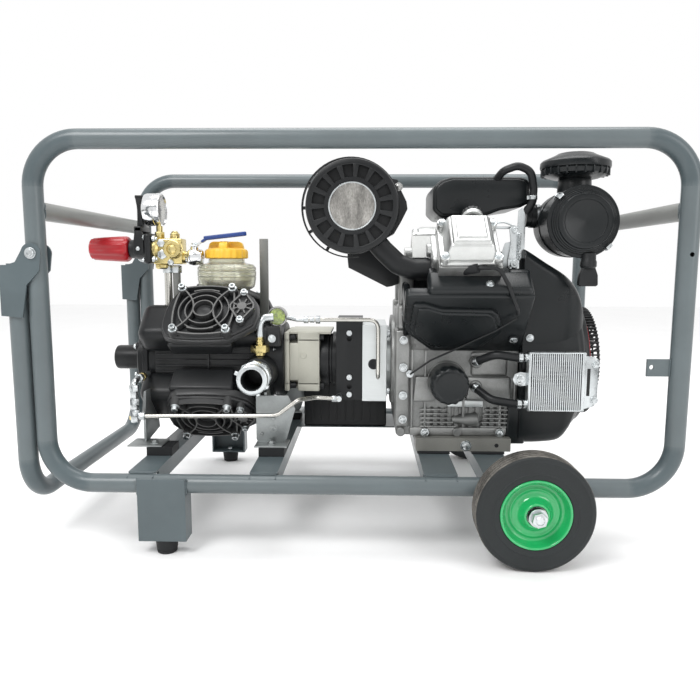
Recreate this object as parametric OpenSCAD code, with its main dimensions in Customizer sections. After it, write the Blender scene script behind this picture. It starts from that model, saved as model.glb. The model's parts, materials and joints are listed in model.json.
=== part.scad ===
// Engine-driven pressure washer on a wheeled tube frame. Millimetres, +Z up, +X towards the wheels.
// The origin is on the floor under the middle of the machine. The pump stands at -X, the engine at +X.

/* [Frame] */
// Distance between the vertical tubes of a side frame
frame_len = 1110; // [1100:1:1130]
// Distance between the lower and upper tubes of a side frame
frame_h = 600; // [590:1:620]
// Distance between the two side frames
frame_w = 560; // [550:1:580]
// Outside diameter of the frame tube
tube_d = 33.7; // [32:0.1:35]
// Wall of the frame tube
tube_wall = 2.6; // [2:0.1:3.2]
// Bend radius at the corners of the side frames
bend_r = 80; // [70:1:90]
// Height of the lower tubes above the floor
deck_z = 127; // [126:0.5:130]
// Height of the two upper cross tubes
cross_z = 609; // [600:1:620]
// Width of the pump rails
pump_rail_w = 50; // [46:1:56]
// Width of the engine rails
engine_rail_w = 60; // [54:1:64]

/* [Running gear] */
// Diameter of the solid wheels
wheel_d = 203; // [201:1:204]
// Width of the tyre
wheel_w = 50; // [44:1:52]
// Outside radius of the steel rim
rim_r = 61; // [58:1:64]
// Diameter of the axle
axle_d = 16; // [15:0.5:16]
// Where the axle stands along the frame
wheel_x = 322; // [318:1:330]
// Height of the rubber feet
foot_h = 26; // [24:1:28]

/* [Handle] */
// Height of the handle pivots
pivot_z = 536; // [530:1:545]
// Drop from the pivots to the crossbar of the hanging handle
handle_drop = 438; // [420:1:442]
// Bend radius of the handle corners
handle_bend = 75; // [60:1:85]

/* [Pump] */
// Height of the drive axis above the floor
drive_z = 316.6; // [314:0.1:320]
// Middle of the four pump heads along the frame
pump_x = -289.5; // [-292:0.5:-286]
// Radius of the pump crankcase
case_r = 82; // [78:1:84]
// Distance from the drive axis to the joint under a head
head_base = 128; // [126:1:130]
// Bolt spacing of a head along the pump
bolt_x = 103; // [98:1:106]
// Bolt spacing of a head across the pump
bolt_y = 108; // [100:1:110]

/* [Fittings] */
// Height of the regulator axis
reg_z = 549.6; // [546:0.2:552]
// Distance of the regulator from the middle plane
reg_y = -25; // [-30:1:-20]
// Radius of the pressure gauge
gauge_r = 34; // [30:1:35]
// Radius of the oil reservoir
reservoir_r = 62; // [56:1:64]
// Radius of the suction bore
suction_r = 19.5; // [17:0.5:20]

/* [Engine] */
// Lean of each cylinder bank from the vertical
bank_lean = 42; // [41:0.5:43]
// Middle of the front cylinder along the frame
front_bank_x = 222; // [218:1:226]
// Middle of the rear cylinder along the frame
rear_bank_x = 196; // [194:1:200]
// Radius of the blower housing
blower_r = 148; // [144:1:149]
// Radius of the muffler guard
guard_r = 85; // [80:1:86]
// Radius of the air filter canister
filter_r = 65; // [60:1:66]

/* [Hidden] */
$fn = 48;
tube_r = tube_d / 2;
bore_r = tube_r - tube_wall;
x_left = 20 - frame_len / 2;
x_right = 20 + frame_len / 2;
top_z = deck_z + frame_h;
side_y = frame_w / 2;
rail_top = deck_z + tube_r + 4;
plate = 4;
fit = 0.05;
seam = 0.03;
axle_r = axle_d / 2;
axle_z = wheel_d / 2;
wheel_y = side_y + 20;
axle_half = wheel_y + wheel_w + 25;
hub_r = 17.5;
pin_r = 6;
ear_in = tube_r + 0.35;
leg_x = x_left - tube_r * 2 - 2.3;
web_x = leg_x - tube_r;
ground = 0;
gear_x0 = -136;
gear_x1 = -62;
block_x0 = -27;
block_x1 = 27;
engine_x0 = 86;
crank_x1 = 335;
cover_z = 295;
blower_x1 = 462;
fan_x1 = 505;
gauge_z = reg_z + 81;
gauge_x0 = -428;
gauge_x1 = -392;
lever_x = -437;
valve_x = -327.5;
valve_z = 533;
cap_x = -265;
muffler_x = 8;
muffler_z = 623;
filter_x = 435;
filter_z = 598;
filter_y0 = -165;
filter_y1 = -40;

// ---- shared shapes ----

module rod_x(x0, x1, r) translate([x0, 0, 0]) rotate([0, 90, 0]) cylinder(h = x1 - x0, r = r);

module rod_y(y0, y1, r) translate([0, y1, 0]) rotate([90, 0, 0]) cylinder(h = y1 - y0, r = r);

module rod_z(z0, z1, r) translate([0, 0, z0]) cylinder(h = z1 - z0, r = r);

module block(x, y, z) translate([x[0], y[0], z[0]]) cube([x[1] - x[0], y[1] - y[0], z[1] - z[0]]);

module hexagon_y(y0, y1, r) translate([0, y1, 0]) rotate([90, 0, 0]) cylinder(h = y1 - y0, r = r, $fn = 6);

// A straight round bar between two points
module bar(a, b, r) {
  d = b - a;
  len = norm(d);
  translate(a) rotate([0, acos(d[2] / len), atan2(d[1], d[0])]) cylinder(h = len, r = r);
}

// A pipe along a list of points, with a slightly proud bead at each bend
module pipe(points, r) {
  for (i = [0 : len(points) - 2]) bar(points[i], points[i + 1], r);
  for (i = [1 : 1 : len(points) - 2]) translate(points[i]) sphere(r = r * 1.05);
}

// Places a shape at the front and mirrors it to the back
module both_sides() {
  children();
  mirror([0, 1, 0]) children();
}

// A quarter of a bent tube in the XZ plane
module bend(x, z, radius, start, r, bore = 0)
  translate([x, 0, z]) rotate([90, 0, 0]) rotate([0, 0, start])
    rotate_extrude(angle = 90) translate([radius, 0]) difference() {
      circle(r = r);
      if (bore > 0) circle(r = bore);
    }

// A straight length of the frame tube along Z, stopping a seam short of the bends it meets
module straight(z0, z1) difference() {
  rod_z(z0 + seam, z1 - seam, tube_r);
  rod_z(z0 - 1, z1 + 1, bore_r);
}

// ---- frame ----

// The bent tube loop: straight lengths and bends are separate solids with a welded seam between them
module tube_loop() {
  xa = x_left + bend_r;
  xb = x_right - bend_r;
  za = deck_z + bend_r;
  zb = top_z - bend_r;
  for (z = [deck_z, top_z]) translate([0, 0, z]) rotate([0, 90, 0]) straight(xa, xb);
  for (x = [x_left, x_right]) translate([x, 0, 0]) straight(za, zb);
  bend(xb, zb, bend_r, 0, tube_r, bore_r);
  bend(xa, zb, bend_r, 90, tube_r, bore_r);
  bend(xa, za, bend_r, 180, tube_r, bore_r);
  bend(xb, za, bend_r, 270, tube_r, bore_r);
}

module side_frame() difference() {
  tube_loop();
  translate([x_left, 0, pivot_z]) rod_y(-tube_d, tube_d, pin_r + fit);
  translate([x_right, 0, pivot_z]) rod_y(-tube_d, 0, 4);
}

module front_side_frame() color("slategray") {
  lug_x = x_right - tube_r;
  translate([0, -side_y, 0]) {
    side_frame();
    difference() {
      block([lug_x - 40, lug_x + 1.5], [-2, 2], [328, 358]);
      translate([lug_x - 32, 0, 344]) rod_y(-3, 3, 4);
    }
  }
}

module rear_side_frame() color("slategray") translate([0, side_y, 0]) side_frame();

module upper_cross_tubes() color("dimgray") {
  r = 16;
  for (x = [x_left, x_right]) difference() {
    translate([x, 0, cross_z]) rod_y(-side_y, side_y, r);
    translate([x, 0, cross_z]) rod_y(-frame_w, frame_w, r - 2.5);
    both_sides() translate([x, -side_y, 0]) rod_z(cross_z - 40, cross_z + 40, tube_r);
  }
}

// A folded channel lying on the two lower tubes
module rail(x, width) {
  half = width / 2;
  inner = side_y - tube_r - 1;
  translate([x, 0, 0]) {
    block([-half, half], [-side_y + 2, side_y - 2], [rail_top - plate, rail_top]);
    for (s = [-half, half - plate]) block([s, s + plate], [-inner, inner], [rail_top - 30, rail_top - plate]);
  }
}

module pump_rails() color("slategray") for (x = [-367, -148]) rail(x, pump_rail_w);

module engine_rails() color("slategray") {
  for (x = [169, 276]) rail(x, engine_rail_w);
  block([-123, 139], [74, 206], [rail_top - plate, rail_top - 1]);
}

module stand_legs() color("slategray") {
  low = foot_h;
  high = deck_z + 14;
  under = deck_z - tube_r - 0.3;
  outer = side_y + tube_r;
  inner = side_y - 18;
  both_sides() difference() {
    union() {
      block([-370, -284], [-outer - plate, -outer], [low, high]);
      block([-370, -284], [-outer, -inner], [low, low + plate]);
      for (x = [-370, -288]) block([x, x + plate], [-outer, -inner], [low, under]);
    }
    translate([-325, -side_y, 0]) rod_z(low - 1, low + 6, 5);
  }
}

module rubber_feet() color("black") both_sides() translate([-325, -side_y, ground]) {
  cylinder(h = foot_h, r1 = 18, r2 = 20.5);
  rod_z(foot_h, foot_h + plate + 6, 4.8);
}

module axle_brackets() color("slategray") {
  y_in = side_y - tube_r;
  both_sides() difference() {
    block([wheel_x - 14, wheel_x + 20], [-y_in, -y_in + 8], [axle_z - 20, deck_z + 12]);
    translate([wheel_x, 0, axle_z]) rod_y(-y_in - 1, -y_in + 9, axle_r + fit);
  }
}

module wheel_axle() color("silver") translate([wheel_x, 0, axle_z]) rod_y(-axle_half, axle_half, axle_r);

module wheel_bearings() color("darkgray") {
  for (y = [wheel_y + 2, wheel_y + wheel_w - 9]) both_sides() translate([wheel_x, 0, axle_z])
    difference() {
      rod_y(-y - 11, -y, hub_r - fit);
      rod_y(-y - 12, -y + 1, axle_r + 0.02);
    }
}

module frame_fasteners() color("silver") {
  ear_out = ear_in + plate;
  both_sides() {
    translate([wheel_x, 0, axle_z]) difference() {
      union() {
        hexagon_y(-axle_half + 2, -axle_half + 13, 14);
        rod_y(-axle_half + 13, -axle_half + 15.5, 16);
      }
      rod_y(-axle_half, -axle_half + 20, axle_r + 0.02);
    }
    translate([x_left, -side_y, pivot_z]) {
      rod_y(-ear_out - 0.3, ear_out + 0.3, pin_r);
      hexagon_y(-ear_out - 7.3, -ear_out - 0.3, 11);
      hexagon_y(ear_out + 0.3, ear_out + 10, 11);
    }
  }
}

// ---- wheels ----

module tyre() color("black") translate([wheel_x, 0, axle_z]) rotate([90, 0, 0]) {
  shoulder = wheel_d / 2 - 9;
  rotate_extrude() union() {
    translate([rim_r, wheel_y]) square([shoulder - rim_r, wheel_w]);
    translate([shoulder, wheel_y + 9]) square([9, wheel_w - 18]);
    for (y = [wheel_y + 9, wheel_y + wheel_w - 9]) translate([shoulder, y]) circle(r = 9);
  }
}

module rim() color("limegreen") translate([wheel_x, 0, axle_z]) rotate([90, 0, 0]) {
  y_out = wheel_y + wheel_w;
  rotate_extrude() difference() {
    polygon([[hub_r, wheel_y + 2], [hub_r + 5, wheel_y + 2], [hub_r + 5, y_out - 20],
      [rim_r - 9, y_out - 22], [rim_r - 6, wheel_y + 1], [rim_r, wheel_y + 1], [rim_r, y_out - 1],
      [rim_r - 4, y_out - 1], [rim_r - 12, y_out - 17], [hub_r + 6, y_out - 14], [hub_r + 5, y_out + 3],
      [hub_r, y_out + 3]]);
    translate([0, y_out + 2.1]) square([hub_r + 1, 2]);
  }
}

module front_tyre() tyre();
module rear_tyre() mirror([0, 1, 0]) tyre();
module front_rim() rim();
module rear_rim() mirror([0, 1, 0]) rim();

// ---- handle ----

module handle_tube() color("slategray") {
  z_bar = pivot_z - handle_drop;
  z_end = pivot_z - tube_r - 0.65;
  both_sides() {
    translate([leg_x, -side_y, 0]) straight(z_bar + handle_bend, z_end);
    translate([leg_x, 0, 0]) rotate([0, 0, 90])
      bend(-side_y + handle_bend, z_bar + handle_bend, handle_bend, 180, tube_r, bore_r);
  }
  translate([leg_x, 0, z_bar]) rotate([90, 0, 0]) straight(-side_y + handle_bend, side_y - handle_bend);
}

module ear() {
  reach = web_x - x_left - plate;
  difference() {
    linear_extrude(plate) union() {
      circle(r = 17);
      polygon([[-12, 12], [-28, -15], [-44, -20], [reach, -20], [reach, -107], [-20, -110],
        [-10, -54], [13, -30], [16.5, -4]]);
    }
    translate([0, 0, -1]) cylinder(h = plate + 2, r = pin_r + fit);
  }
}

module handle_brackets() color("slategray") both_sides() translate([x_left, -side_y, pivot_z]) {
  for (y = [-ear_in, ear_in + plate]) translate([0, y, 0]) rotate([90, 0, 0]) ear();
  block([web_x - x_left - plate, web_x - x_left], [-ear_in, ear_in], [-107, -20]);
}

// ---- pump ----

// The four head directions of the pump, each with +Z pointing out along the piston
module four_heads() for (a = [45, -45, 135, -135]) translate([pump_x, 0, drive_z]) rotate([a, 0, 0])
  children();

module head_bolt_places() for (x = [-bolt_x / 2, bolt_x / 2], y = [-bolt_y / 2, bolt_y / 2])
  translate([x, y, 0]) children();

module pump_crankcase() color("dimgray") difference() {
  union() {
    translate([0, 0, drive_z]) rod_x(-430, -160, case_r);
    translate([0, 0, drive_z]) rod_x(-160, gear_x0, 79);
    four_heads() block([-58, 58], [-60, 60], [40, head_base - 10]);
    four_heads() rod_z(60, head_base, 56);
    four_heads() head_bolt_places() rod_z(60, head_base, 9);
  }
  four_heads() head_bolt_places() rod_z(95, head_base + 1, 4.1);
  four_heads() rod_z(0, head_base + 1, 22);
  translate([0, 0, drive_z]) rod_x(-420, -170, 62);
  translate([0, 0, drive_z]) rod_x(-431, gear_x0 + 1, 17.05);
}

module pump_end_cover() color("dimgray") translate([0, 0, drive_z]) difference() {
  union() {
    rod_x(-447, -430, 70);
    rod_x(-509, -447, 26);
    for (a = [0 : 60 : 300]) rotate([a, 0, 0]) translate([0, 0, 60]) rod_x(-452, -447, 6);
  }
  rod_x(-500, -429, 17.3);
}

module pump_heads() color("black") four_heads() difference() {
  union() {
    rod_z(head_base, head_base + 26, 60);
    block([-50, 50], [-52, 52], [head_base, head_base + 26]);
    rod_z(head_base + 26, head_base + 34, 46);
    rod_z(head_base + 34, head_base + 38, 30);
    head_bolt_places() rod_z(head_base, head_base + 34, 9.5);
    for (a = [20 : 40 : 340]) rotate([0, 0, a]) block([0, 44], [-2, 2], [head_base + 34, head_base + 37]);
  }
  head_bolt_places() rod_z(head_base - 1, head_base + 35, 4.1);
  rod_z(head_base - 1, head_base + 16, 45.3);
}

module pump_head_bolts() color("silver") four_heads() head_bolt_places() {
  rod_z(100, head_base + 34, 4);
  rod_z(head_base + 34, head_base + 36, 8);
  rod_z(head_base + 36, head_base + 45, 6.5);
}

module pump_diaphragms() color("black") four_heads() rod_z(head_base, head_base + 4, 45);

module pump_shaft() color("silver") translate([0, 0, drive_z]) {
  rod_x(-490, gear_x1 - 22, 17);
  translate([0, 0, 9]) rod_x(pump_x - 40, pump_x + 40, 40);
}

module pump_brackets() color("lightgray") {
  foot = rail_top + 17;
  difference() {
    block([-406, -401], [-150, 150], [foot, 268]);
    translate([0, 0, drive_z]) rod_x(-440, -380, case_r + 0.05);
  }
  difference() {
    block([-166, -161], [-143, 143], [foot, 268]);
    translate([0, 0, drive_z]) rod_x(-180, -150, case_r + 0.05);
  }
  both_sides() {
    block([-430, -362], [-180, -125], [foot, foot + 3]);
    block([-182, -118], [-178, -125], [foot, foot + 3]);
    difference() {
      block([-182, -118], [-146, -143], [foot, 262]);
      translate([-150, 0, foot + 30]) rod_y(-147, -142, 5);
    }
    for (x = [-380, -150]) translate([x, -162, 0]) rod_z(foot + 3, foot + 9, 7);
  }
  block([-201, -182], [40, 45], [392, 574]);
}

module pump_dampers() color("black") both_sides() for (x = [-392, -173])
  block([x, x + 50], [-180, -130], [rail_top, rail_top + 17]);

module oil_reservoir() color("beige") translate([cap_x, 0, 0]) difference() {
  union() {
    rod_z(drive_z + case_r + 22.5, 468, 18);
    rod_z(468, 486, 44);
    rod_z(486, 514, reservoir_r);
    rod_z(514, 530, 37);
  }
  rod_z(472, 488, 41);
  rod_z(488, 511, reservoir_r - 3);
  rod_z(510, 531, 33);
}

module reservoir_cap() color("gold") translate([cap_x, 0, 0]) difference() {
  union() {
    rod_z(530.3, 553, 44);
    rod_z(553, 558, 41);
    for (a = [0, 90]) rotate([0, 0, a]) block([-38, 38], [-4, 4], [558, 563]);
    for (a = [0 : 15 : 345]) rotate([0, 0, a]) translate([44, 0, 0]) rod_z(532, 552, 1.6);
  }
  rod_z(529, 548, 40);
}

module suction_coupling() color("silver") translate([-182, 0, 300]) difference() {
  union() {
    rod_y(-192, -176, 30);
    rod_y(-176, -118, 24.5);
    rod_y(-118, -82, 30);
    for (s = [-1, 1]) translate([s * 27, 0, s * 12]) rod_y(-176, -160, 7);
  }
  rod_y(-193, -110, suction_r);
  translate([0, 0, drive_z - 300]) rod_x(-60, 60, case_r + 0.1);
}

module pump_pipework() color("silver") {
  // Delivery pipes from the crankcase up to the regulator
  for (x = [-368, -386]) translate([x, reg_y + 5, 0]) rod_z(drive_z + case_r, 516, 8);
  // Upper return line
  translate([0, -95, 0]) {
    translate([0, 0, 408]) rod_x(-88, 38, 4);
    bend(38, 388, 20, 0, 4);
    translate([58, 0, 0]) rod_z(296, 388, 4);
    translate([58, 0, 300]) rod_y(-5, 23, 5);
  }
  // Lower line across the front of the pump
  pipe([[-401, -178, 226], [-136, -181, 230], [-98, -160, 256], [-66, -118, 252], [-20, -108, 249]], 4);
  translate([-20, 0, 249]) rod_y(-112, -70, 6);
  // Fitting stack at the left end of the lower line
  translate([-412, -178, 0]) {
    rod_z(214, 300, 6);
    rod_z(214, 236, 10);
    rod_z(268, 280, 9);
    translate([0, 0, 292]) rod_y(0, 96, 5);
  }
  // Brass fitting and sight glass on the front of the crankcase
  translate([-181, -92, 0]) {
    rod_z(340, 354, 12);
    rod_z(330, 392, 7);
    translate([0, 0, 347]) rod_y(0, 15, 5);
    translate([0, 0, 394]) rod_y(-9, 44, 9);
  }
  translate([-148, -76, 412]) rod_y(0, 16, 20);
  translate([-148, -60, 412]) bar([0, -4, 6], [0, 14, -22], 6);
}

module regulator_body() color("goldenrod") translate([0, reg_y, 0]) {
  block([-410, -345], [-19, 19], [516, 572]);
  translate([-400, 0, 0]) rod_z(572, 588, 9.7);
  translate([-400, 0, 0]) rod_z(588, gauge_z - gauge_r, 8);
  translate([-366, 0, 549]) rod_y(-30, -19, 17);
  translate([-366, 0, 0]) rod_z(572, 582, 12);
}

module regulator_sleeve() color("black") translate([0, reg_y, reg_z]) difference() {
  union() {
    rod_x(-425, -410, 32);
    rod_x(-462, -425, 22);
  }
  translate([lever_x, 0, 0]) rod_y(-30, 30, 4 + fit);
  rod_x(-463, -440, 9.5);
}

module regulator_knob() color("crimson") translate([0, reg_y, reg_z]) {
  difference() {
    rod_x(-546, -463, 26);
    for (a = [0 : 24 : 336]) rotate([a, 0, 0]) translate([0, 0, 27.5]) rod_x(-540, -474, 3);
  }
  rod_x(-463, -444, 9);
}

module bypass_lever() color("black") translate([lever_x, reg_y, reg_z]) {
  both_sides() difference() {
    union() {
      rod_y(-28, -23, 9);
      block([-8, 8], [-28, -23], [0, 44]);
    }
  }
  rod_y(-28, 28, 4);
  block([-8, 8], [-28, 28], [36, 44]);
  block([-6, 6], [-12, 12], [44, 110]);
}

module gauge_case() color("silver") translate([0, reg_y, gauge_z]) difference() {
  rod_x(gauge_x0, gauge_x1, gauge_r);
  rod_x(gauge_x1 - 8, gauge_x1 + 1, gauge_r - 3);
}

module gauge_needle() color("black") translate([0, reg_y, gauge_z]) {
  rod_x(gauge_x1 - 7.7, gauge_x1 - 4, 3.5);
  block([gauge_x1 - 6, gauge_x1 - 5], [-1.2, 1.2], [-26, 8]);
}

module ball_valve_body() color("silver") translate([0, reg_y, valve_z]) difference() {
  union() {
    rod_x(-345, -310, 15);
    translate([valve_x, 0, 0]) sphere(r = 17.5);
    translate([valve_x, 0, 0]) rod_z(10, 22, 8);
  }
  translate([valve_x, 0, 0]) sphere(r = 11.3);
  rod_x(-346, -309, 6);
  translate([valve_x, 0, 0]) rod_z(0, 23, 4.05);
}

module ball_valve_lever() color("royalblue") translate([valve_x, reg_y, valve_z]) {
  difference() {
    union() {
      sphere(r = 11.2);
      rod_z(0, 22.5, 4);
    }
    rod_x(-12, 12, 6);
  }
  block([-9, 9], [-8, 8], [22.5, 26]);
  translate([5, 0, 25]) rotate([0, -35, 0]) block([0, 22], [-6, 6], [-2, 1]);
  translate([21, 0, 37]) rotate([0, -10, 0]) block([0, 90], [-6, 6], [-3, 3]);
}

// ---- drive ----

module gearbox_housing() color("darkgray") translate([0, 0, drive_z]) difference() {
  union() {
    block([gear_x0, gear_x1], [-62, 62], [-62, 62]);
    rod_x(gear_x1, block_x0, 58);
  }
  rod_x(gear_x0 - 1, gear_x0 + 12, 17.05);
  rod_x(gear_x0 + 12, block_x0 + 1, 46);
}

module drive_adapter() color("black") translate([0, 0, drive_z]) difference() {
  block([block_x0, block_x1], [-70, 70], [-78, 88]);
  rod_x(block_x0 - 1, block_x1 + 1, 40);
  for (z = [-50, 50]) translate([0, 0, z]) rod_y(-71, -60, 5);
}

module adapter_plate() color("silver") translate([0, 0, drive_z]) difference() {
  union() {
    block([block_x1, 77], [-72, 72], [-80, 79]);
    rod_x(77, engine_x0, 70);
  }
  rod_x(block_x1 - 1, engine_x0 + 1, 45);
}

// ---- engine ----

// A cylinder bank's own frame: +Z out along the cylinder, side 1 at the front and -1 at the back
module bank(side) translate([0, 0, drive_z]) rotate([side * bank_lean, 0, 0]) children();

function bank_x(side) = side > 0 ? front_bank_x : rear_bank_x;

module engine_crankcase() color("silver") difference() {
  union() {
    block([95, crank_x1], [-125, 125], [180, 430]);
    translate([0, 0, drive_z]) rod_x(engine_x0, 95, 95);
  }
  for (s = [1, -1]) bank(s) block([80, 360], [-260, 260], [110, 400]);
  translate([0, 0, drive_z]) rod_x(112, crank_x1 - 20, 82);
  translate([0, 0, drive_z]) rod_x(engine_x0 - 1, crank_x1 + 1, 20.05);
  for (x = [150 : 14 : 318]) block([x, x + 5], [-126, -112], [196, 236]);
}

module engine_base() color("darkgray") both_sides() {
  block([134, 320], [-150, -100], [rail_top + 6, 180]);
  block([140, 198], [-148, -102], [rail_top, rail_top + 6]);
  block([247, 305], [-148, -102], [rail_top, rail_top + 6]);
}

module engine_cylinders() color("gray") for (s = [1, -1]) bank(s) translate([bank_x(s), 0, 0])
  difference() {
    union() {
      rod_z(110, 225, 48);
      for (z = [118 : 12 : 214]) block([-62, 62], [-62, 62], [z, z + 4]);
      block([-57, 57], s > 0 ? [-34, 76] : [-76, 34], [225, cover_z]);
    }
    rod_z(109, 215, 40);
  }

module valve_covers() color("silver") for (s = [1, -1]) bank(s) translate([bank_x(s), 0, 0]) {
  y0 = s > 0 ? -32 : -78;
  y1 = s > 0 ? 78 : 32;
  difference() {
    block([-55, 55], [y0, y1], [cover_z, cover_z + 50]);
    block([-49, 49], [y0 + 6, y1 - 6], [cover_z - 1, cover_z + 43]);
    if (s > 0) translate([10, 68, cover_z + 25]) rod_y(0, 20, 12.05);
  }
}

module oil_filler_cap() color("black") bank(1) translate([front_bank_x + 10, 0, cover_z + 25]) {
  rod_y(70, 78, 12);
  difference() {
    rod_y(78.3, 98, 20);
    for (a = [0 : 30 : 330]) rotate([0, a, 0]) translate([21, 0, 0]) rod_y(82, 99, 2.5);
  }
  rod_y(78, 78.3, 12);
}

module cylinder_shrouds() color("black") for (s = [1, -1]) bank(s) difference() {
  block([105, 300], [-74, 74], [111, 262]);
  block([108, 301], [-71, 71], [110, 263]);
  translate([100, s * 16, 242]) rod_x(0, 12, 34);
  block([100, 301], [s > 0 ? 5 : -75, s > 0 ? 75 : -5], [195, 263]);
}

module blower_housing() color("black") translate([0, 0, drive_z]) difference() {
  union() {
    rod_x(336, blower_x1, blower_r);
    rod_x(blower_x1, blower_x1 + 12, blower_r - 14);
    block([308, 339], [-124, -119], [74, 214]);
    translate([318, 0, 203.4]) rod_y(-138, -119, 3);
  }
  rod_x(339, blower_x1 - 3, blower_r - 3);
  rod_x(335, 340, 70);
  rod_x(blower_x1 - 4, blower_x1 + 13, 118);
}

module crankshaft() color("silver") translate([0, 0, drive_z]) {
  rod_x(-50, 150, 20);
  rod_x(262, 460, 20);
  for (x = [150, 184, 204, 238]) rod_x(x, x + 24, 58);
  translate([0, 0, 33]) rod_x(174, 184, 18);
  translate([0, 0, 33]) rod_x(228, 238, 18);
  rod_x(414, 446, 104);
}

module fan_screen() color("darkgray") translate([0, 0, drive_z]) difference() {
  union() {
    rod_x(466, fan_x1 - 5, 114);
    rod_x(fan_x1 - 5, fan_x1, 108);
    rod_x(460, fan_x1 - 5, 30);
  }
  difference() {
    rod_x(465, fan_x1 - 8, 110);
    rod_x(459, fan_x1 - 7, 30);
  }
  for (a = [0 : 15 : 345]) rotate([a, 0, 0]) block([fan_x1 - 15, fan_x1 + 5], [-3, 3], [45, 100]);
}

module oil_cooler() color("silver") {
  difference() {
    block([340, 446], [-190, -165], [244, 356]);
    for (z = [250 : 8 : 346]) block([346, 440], [-191, -168], [z, z + 5]);
  }
  block([446, 470], [-188, -182], [244, 352]);
  // The foot is sunk 0.05 into the blower housing
  block([458, 464], [-182, 0.05 - blower_r], [250, 346]);
  block([318, 340], [-180, -174], [288, 318]);
}

module oil_filter() color("black") translate([194, 0, 291]) {
  rod_y(-196, -142, 38);
  rod_y(-142, -136, 34);
  rod_y(-136, -125, 26);
}

module engine_hoses() color("black") {
  // Oil cooler hoses
  pipe([[245, -140, 330], [280, -172, 350], [318, -178, 345], [339.8, -178, 345]], 6);
  pipe([[245, -140, 282], [275, -172, 262], [318, -178, 256], [339.8, -178, 256]], 6);
  // Breather hose
  pipe([[308, -95, 690], [330, -100, 700], [352, -100, 680], [358, -100, 640], [345, -95, 618]], 7);
  // Ignition lead with its boot
  pipe([[222, -240, 492], [250, -252, 494], [285, -246, 478], [308, -200, 452], [326, -155, 430]], 4);
}

module intake_cover() color("black") {
  block([165, 357], [-80, 80], [612, 690]);
  block([200, 290], [-28, 28], [468, 612]);
  block([357, 369.7], [-75, -45], [590, 640]);
}

module air_filter_canister() color("black") translate([filter_x, 0, filter_z]) {
  difference() {
    rod_y(filter_y0, filter_y1, filter_r);
    rod_y(filter_y0 - 1, filter_y1 - 4, filter_r - 3);
    translate([1, -100, 0]) rod_z(0, filter_r + 1, 26);
  }
  translate([1, -100, 0]) difference() {
    rod_z(filter_r - 12, filter_r + 20, 30);
    rod_z(filter_r - 13, filter_r + 21, 26);
    translate([-1, 100, 0]) rod_y(filter_y0 - 1, filter_y1 - 4, filter_r - 3);
  }
}

module air_filter_cover() color("black") translate([filter_x, 0, filter_z]) {
  difference() {
    rod_y(filter_y0 - 20, filter_y0, filter_r + 2);
    rod_y(filter_y0 - 17, filter_y0 + 1, filter_r - 1);
  }
  translate([12, filter_y0 - 4, 0]) rod_z(-118, -filter_r, 11);
}

module precleaner_cap() color("black") translate([filter_x + 1, -100, 0]) {
  rod_z(683, 690, 36);
  rod_z(690, 712, 66);
  rod_z(712, 722, 56);
  rod_z(722, 731, 40);
}

module throttle_lever() color("lightgray") translate([318, 0, 520]) difference() {
  union() {
    rod_y(-136, -125, 7);
    block([-12, 12], [-128, -125], [-10, 74]);
  }
  rod_y(-137, -124, 3 + fit);
}

module muffler_body() color("dimgray") {
  pipe_y = -150;
  pipe_z = 512;
  pipe_r = 18;
  bends = [[66, pipe_y, 545], [94, pipe_y, 524], [124, pipe_y, pipe_z]];
  difference() {
    union() {
      translate([muffler_x, 0, muffler_z]) difference() {
        rod_y(-192, -72, 72);
        rod_y(-189, -75, 69);
      }
      // Exhaust pipe from the front cylinder head and its flange
      pipe(concat([[46, pipe_y, 568]], bends, [[164.8, pipe_y, pipe_z]]), pipe_r);
      translate([0, pipe_y, pipe_z]) rod_x(156, 164.8, pipe_r + 8);
    }
    pipe(concat([[40, pipe_y, 576.4]], bends, [[166, pipe_y, pipe_z]]), pipe_r - 2);
  }
  for (a = [0 : 90 : 270]) translate([muffler_x, 0, muffler_z]) rotate([0, a, 0])
    block([71, guard_r - 3.6], [-134, -128], [-8, 8]);
  // Bracket plate down to the cylinder shroud
  translate([0, -68, 0]) rotate([90, 0, 0]) linear_extrude(4)
    polygon([[-6, 600], [-6, 512], [76, 474], [104.8, 474], [104.8, 520], [60, 600]]);
}

module muffler_guard() color("black") translate([muffler_x, 0, muffler_z]) {
  difference() {
    rod_y(-206, -120, guard_r);
    rod_y(-203, -119, guard_r - 3);
    rod_y(-207, -200, 42);
    for (a = [0 : 24 : 336]) rotate([0, a, 0]) block([50, 72], [-207, -202], [-4, 4]);
    for (a = [0 : 15 : 345]) rotate([0, a, 0]) block([guard_r - 6, guard_r + 6], [-185, -140], [-3, 3]);
    rotate([0, 55.5, 0]) block([60, 95], [-175, -119], [-25, 25]);
  }
}

module battery() color("black") {
  block([-108, 82], [76, 204], [rail_top - 1, rail_top + 28]);
  block([-98, 72], [82, 198], [rail_top + 28, 300]);
  for (x = [-70, 44]) translate([x, 104, 0]) rod_z(300, 312, 9);
}

front_side_frame();
rear_side_frame();
upper_cross_tubes();
pump_rails();
engine_rails();
stand_legs();
rubber_feet();
axle_brackets();
wheel_axle();
wheel_bearings();
frame_fasteners();
front_tyre();
rear_tyre();
front_rim();
rear_rim();
handle_tube();
handle_brackets();
pump_crankcase();
pump_end_cover();
pump_heads();
pump_head_bolts();
pump_diaphragms();
pump_shaft();
pump_brackets();
pump_dampers();
oil_reservoir();
reservoir_cap();
suction_coupling();
pump_pipework();
regulator_body();
regulator_sleeve();
regulator_knob();
bypass_lever();
gauge_case();
gauge_needle();
ball_valve_body();
ball_valve_lever();
gearbox_housing();
drive_adapter();
adapter_plate();
engine_crankcase();
engine_base();
engine_cylinders();
valve_covers();
oil_filler_cap();
cylinder_shrouds();
blower_housing();
crankshaft();
fan_screen();
oil_cooler();
oil_filter();
engine_hoses();
intake_cover();
air_filter_canister();
air_filter_cover();
precleaner_cap();
throttle_lever();
muffler_body();
muffler_guard();
battery();
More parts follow.
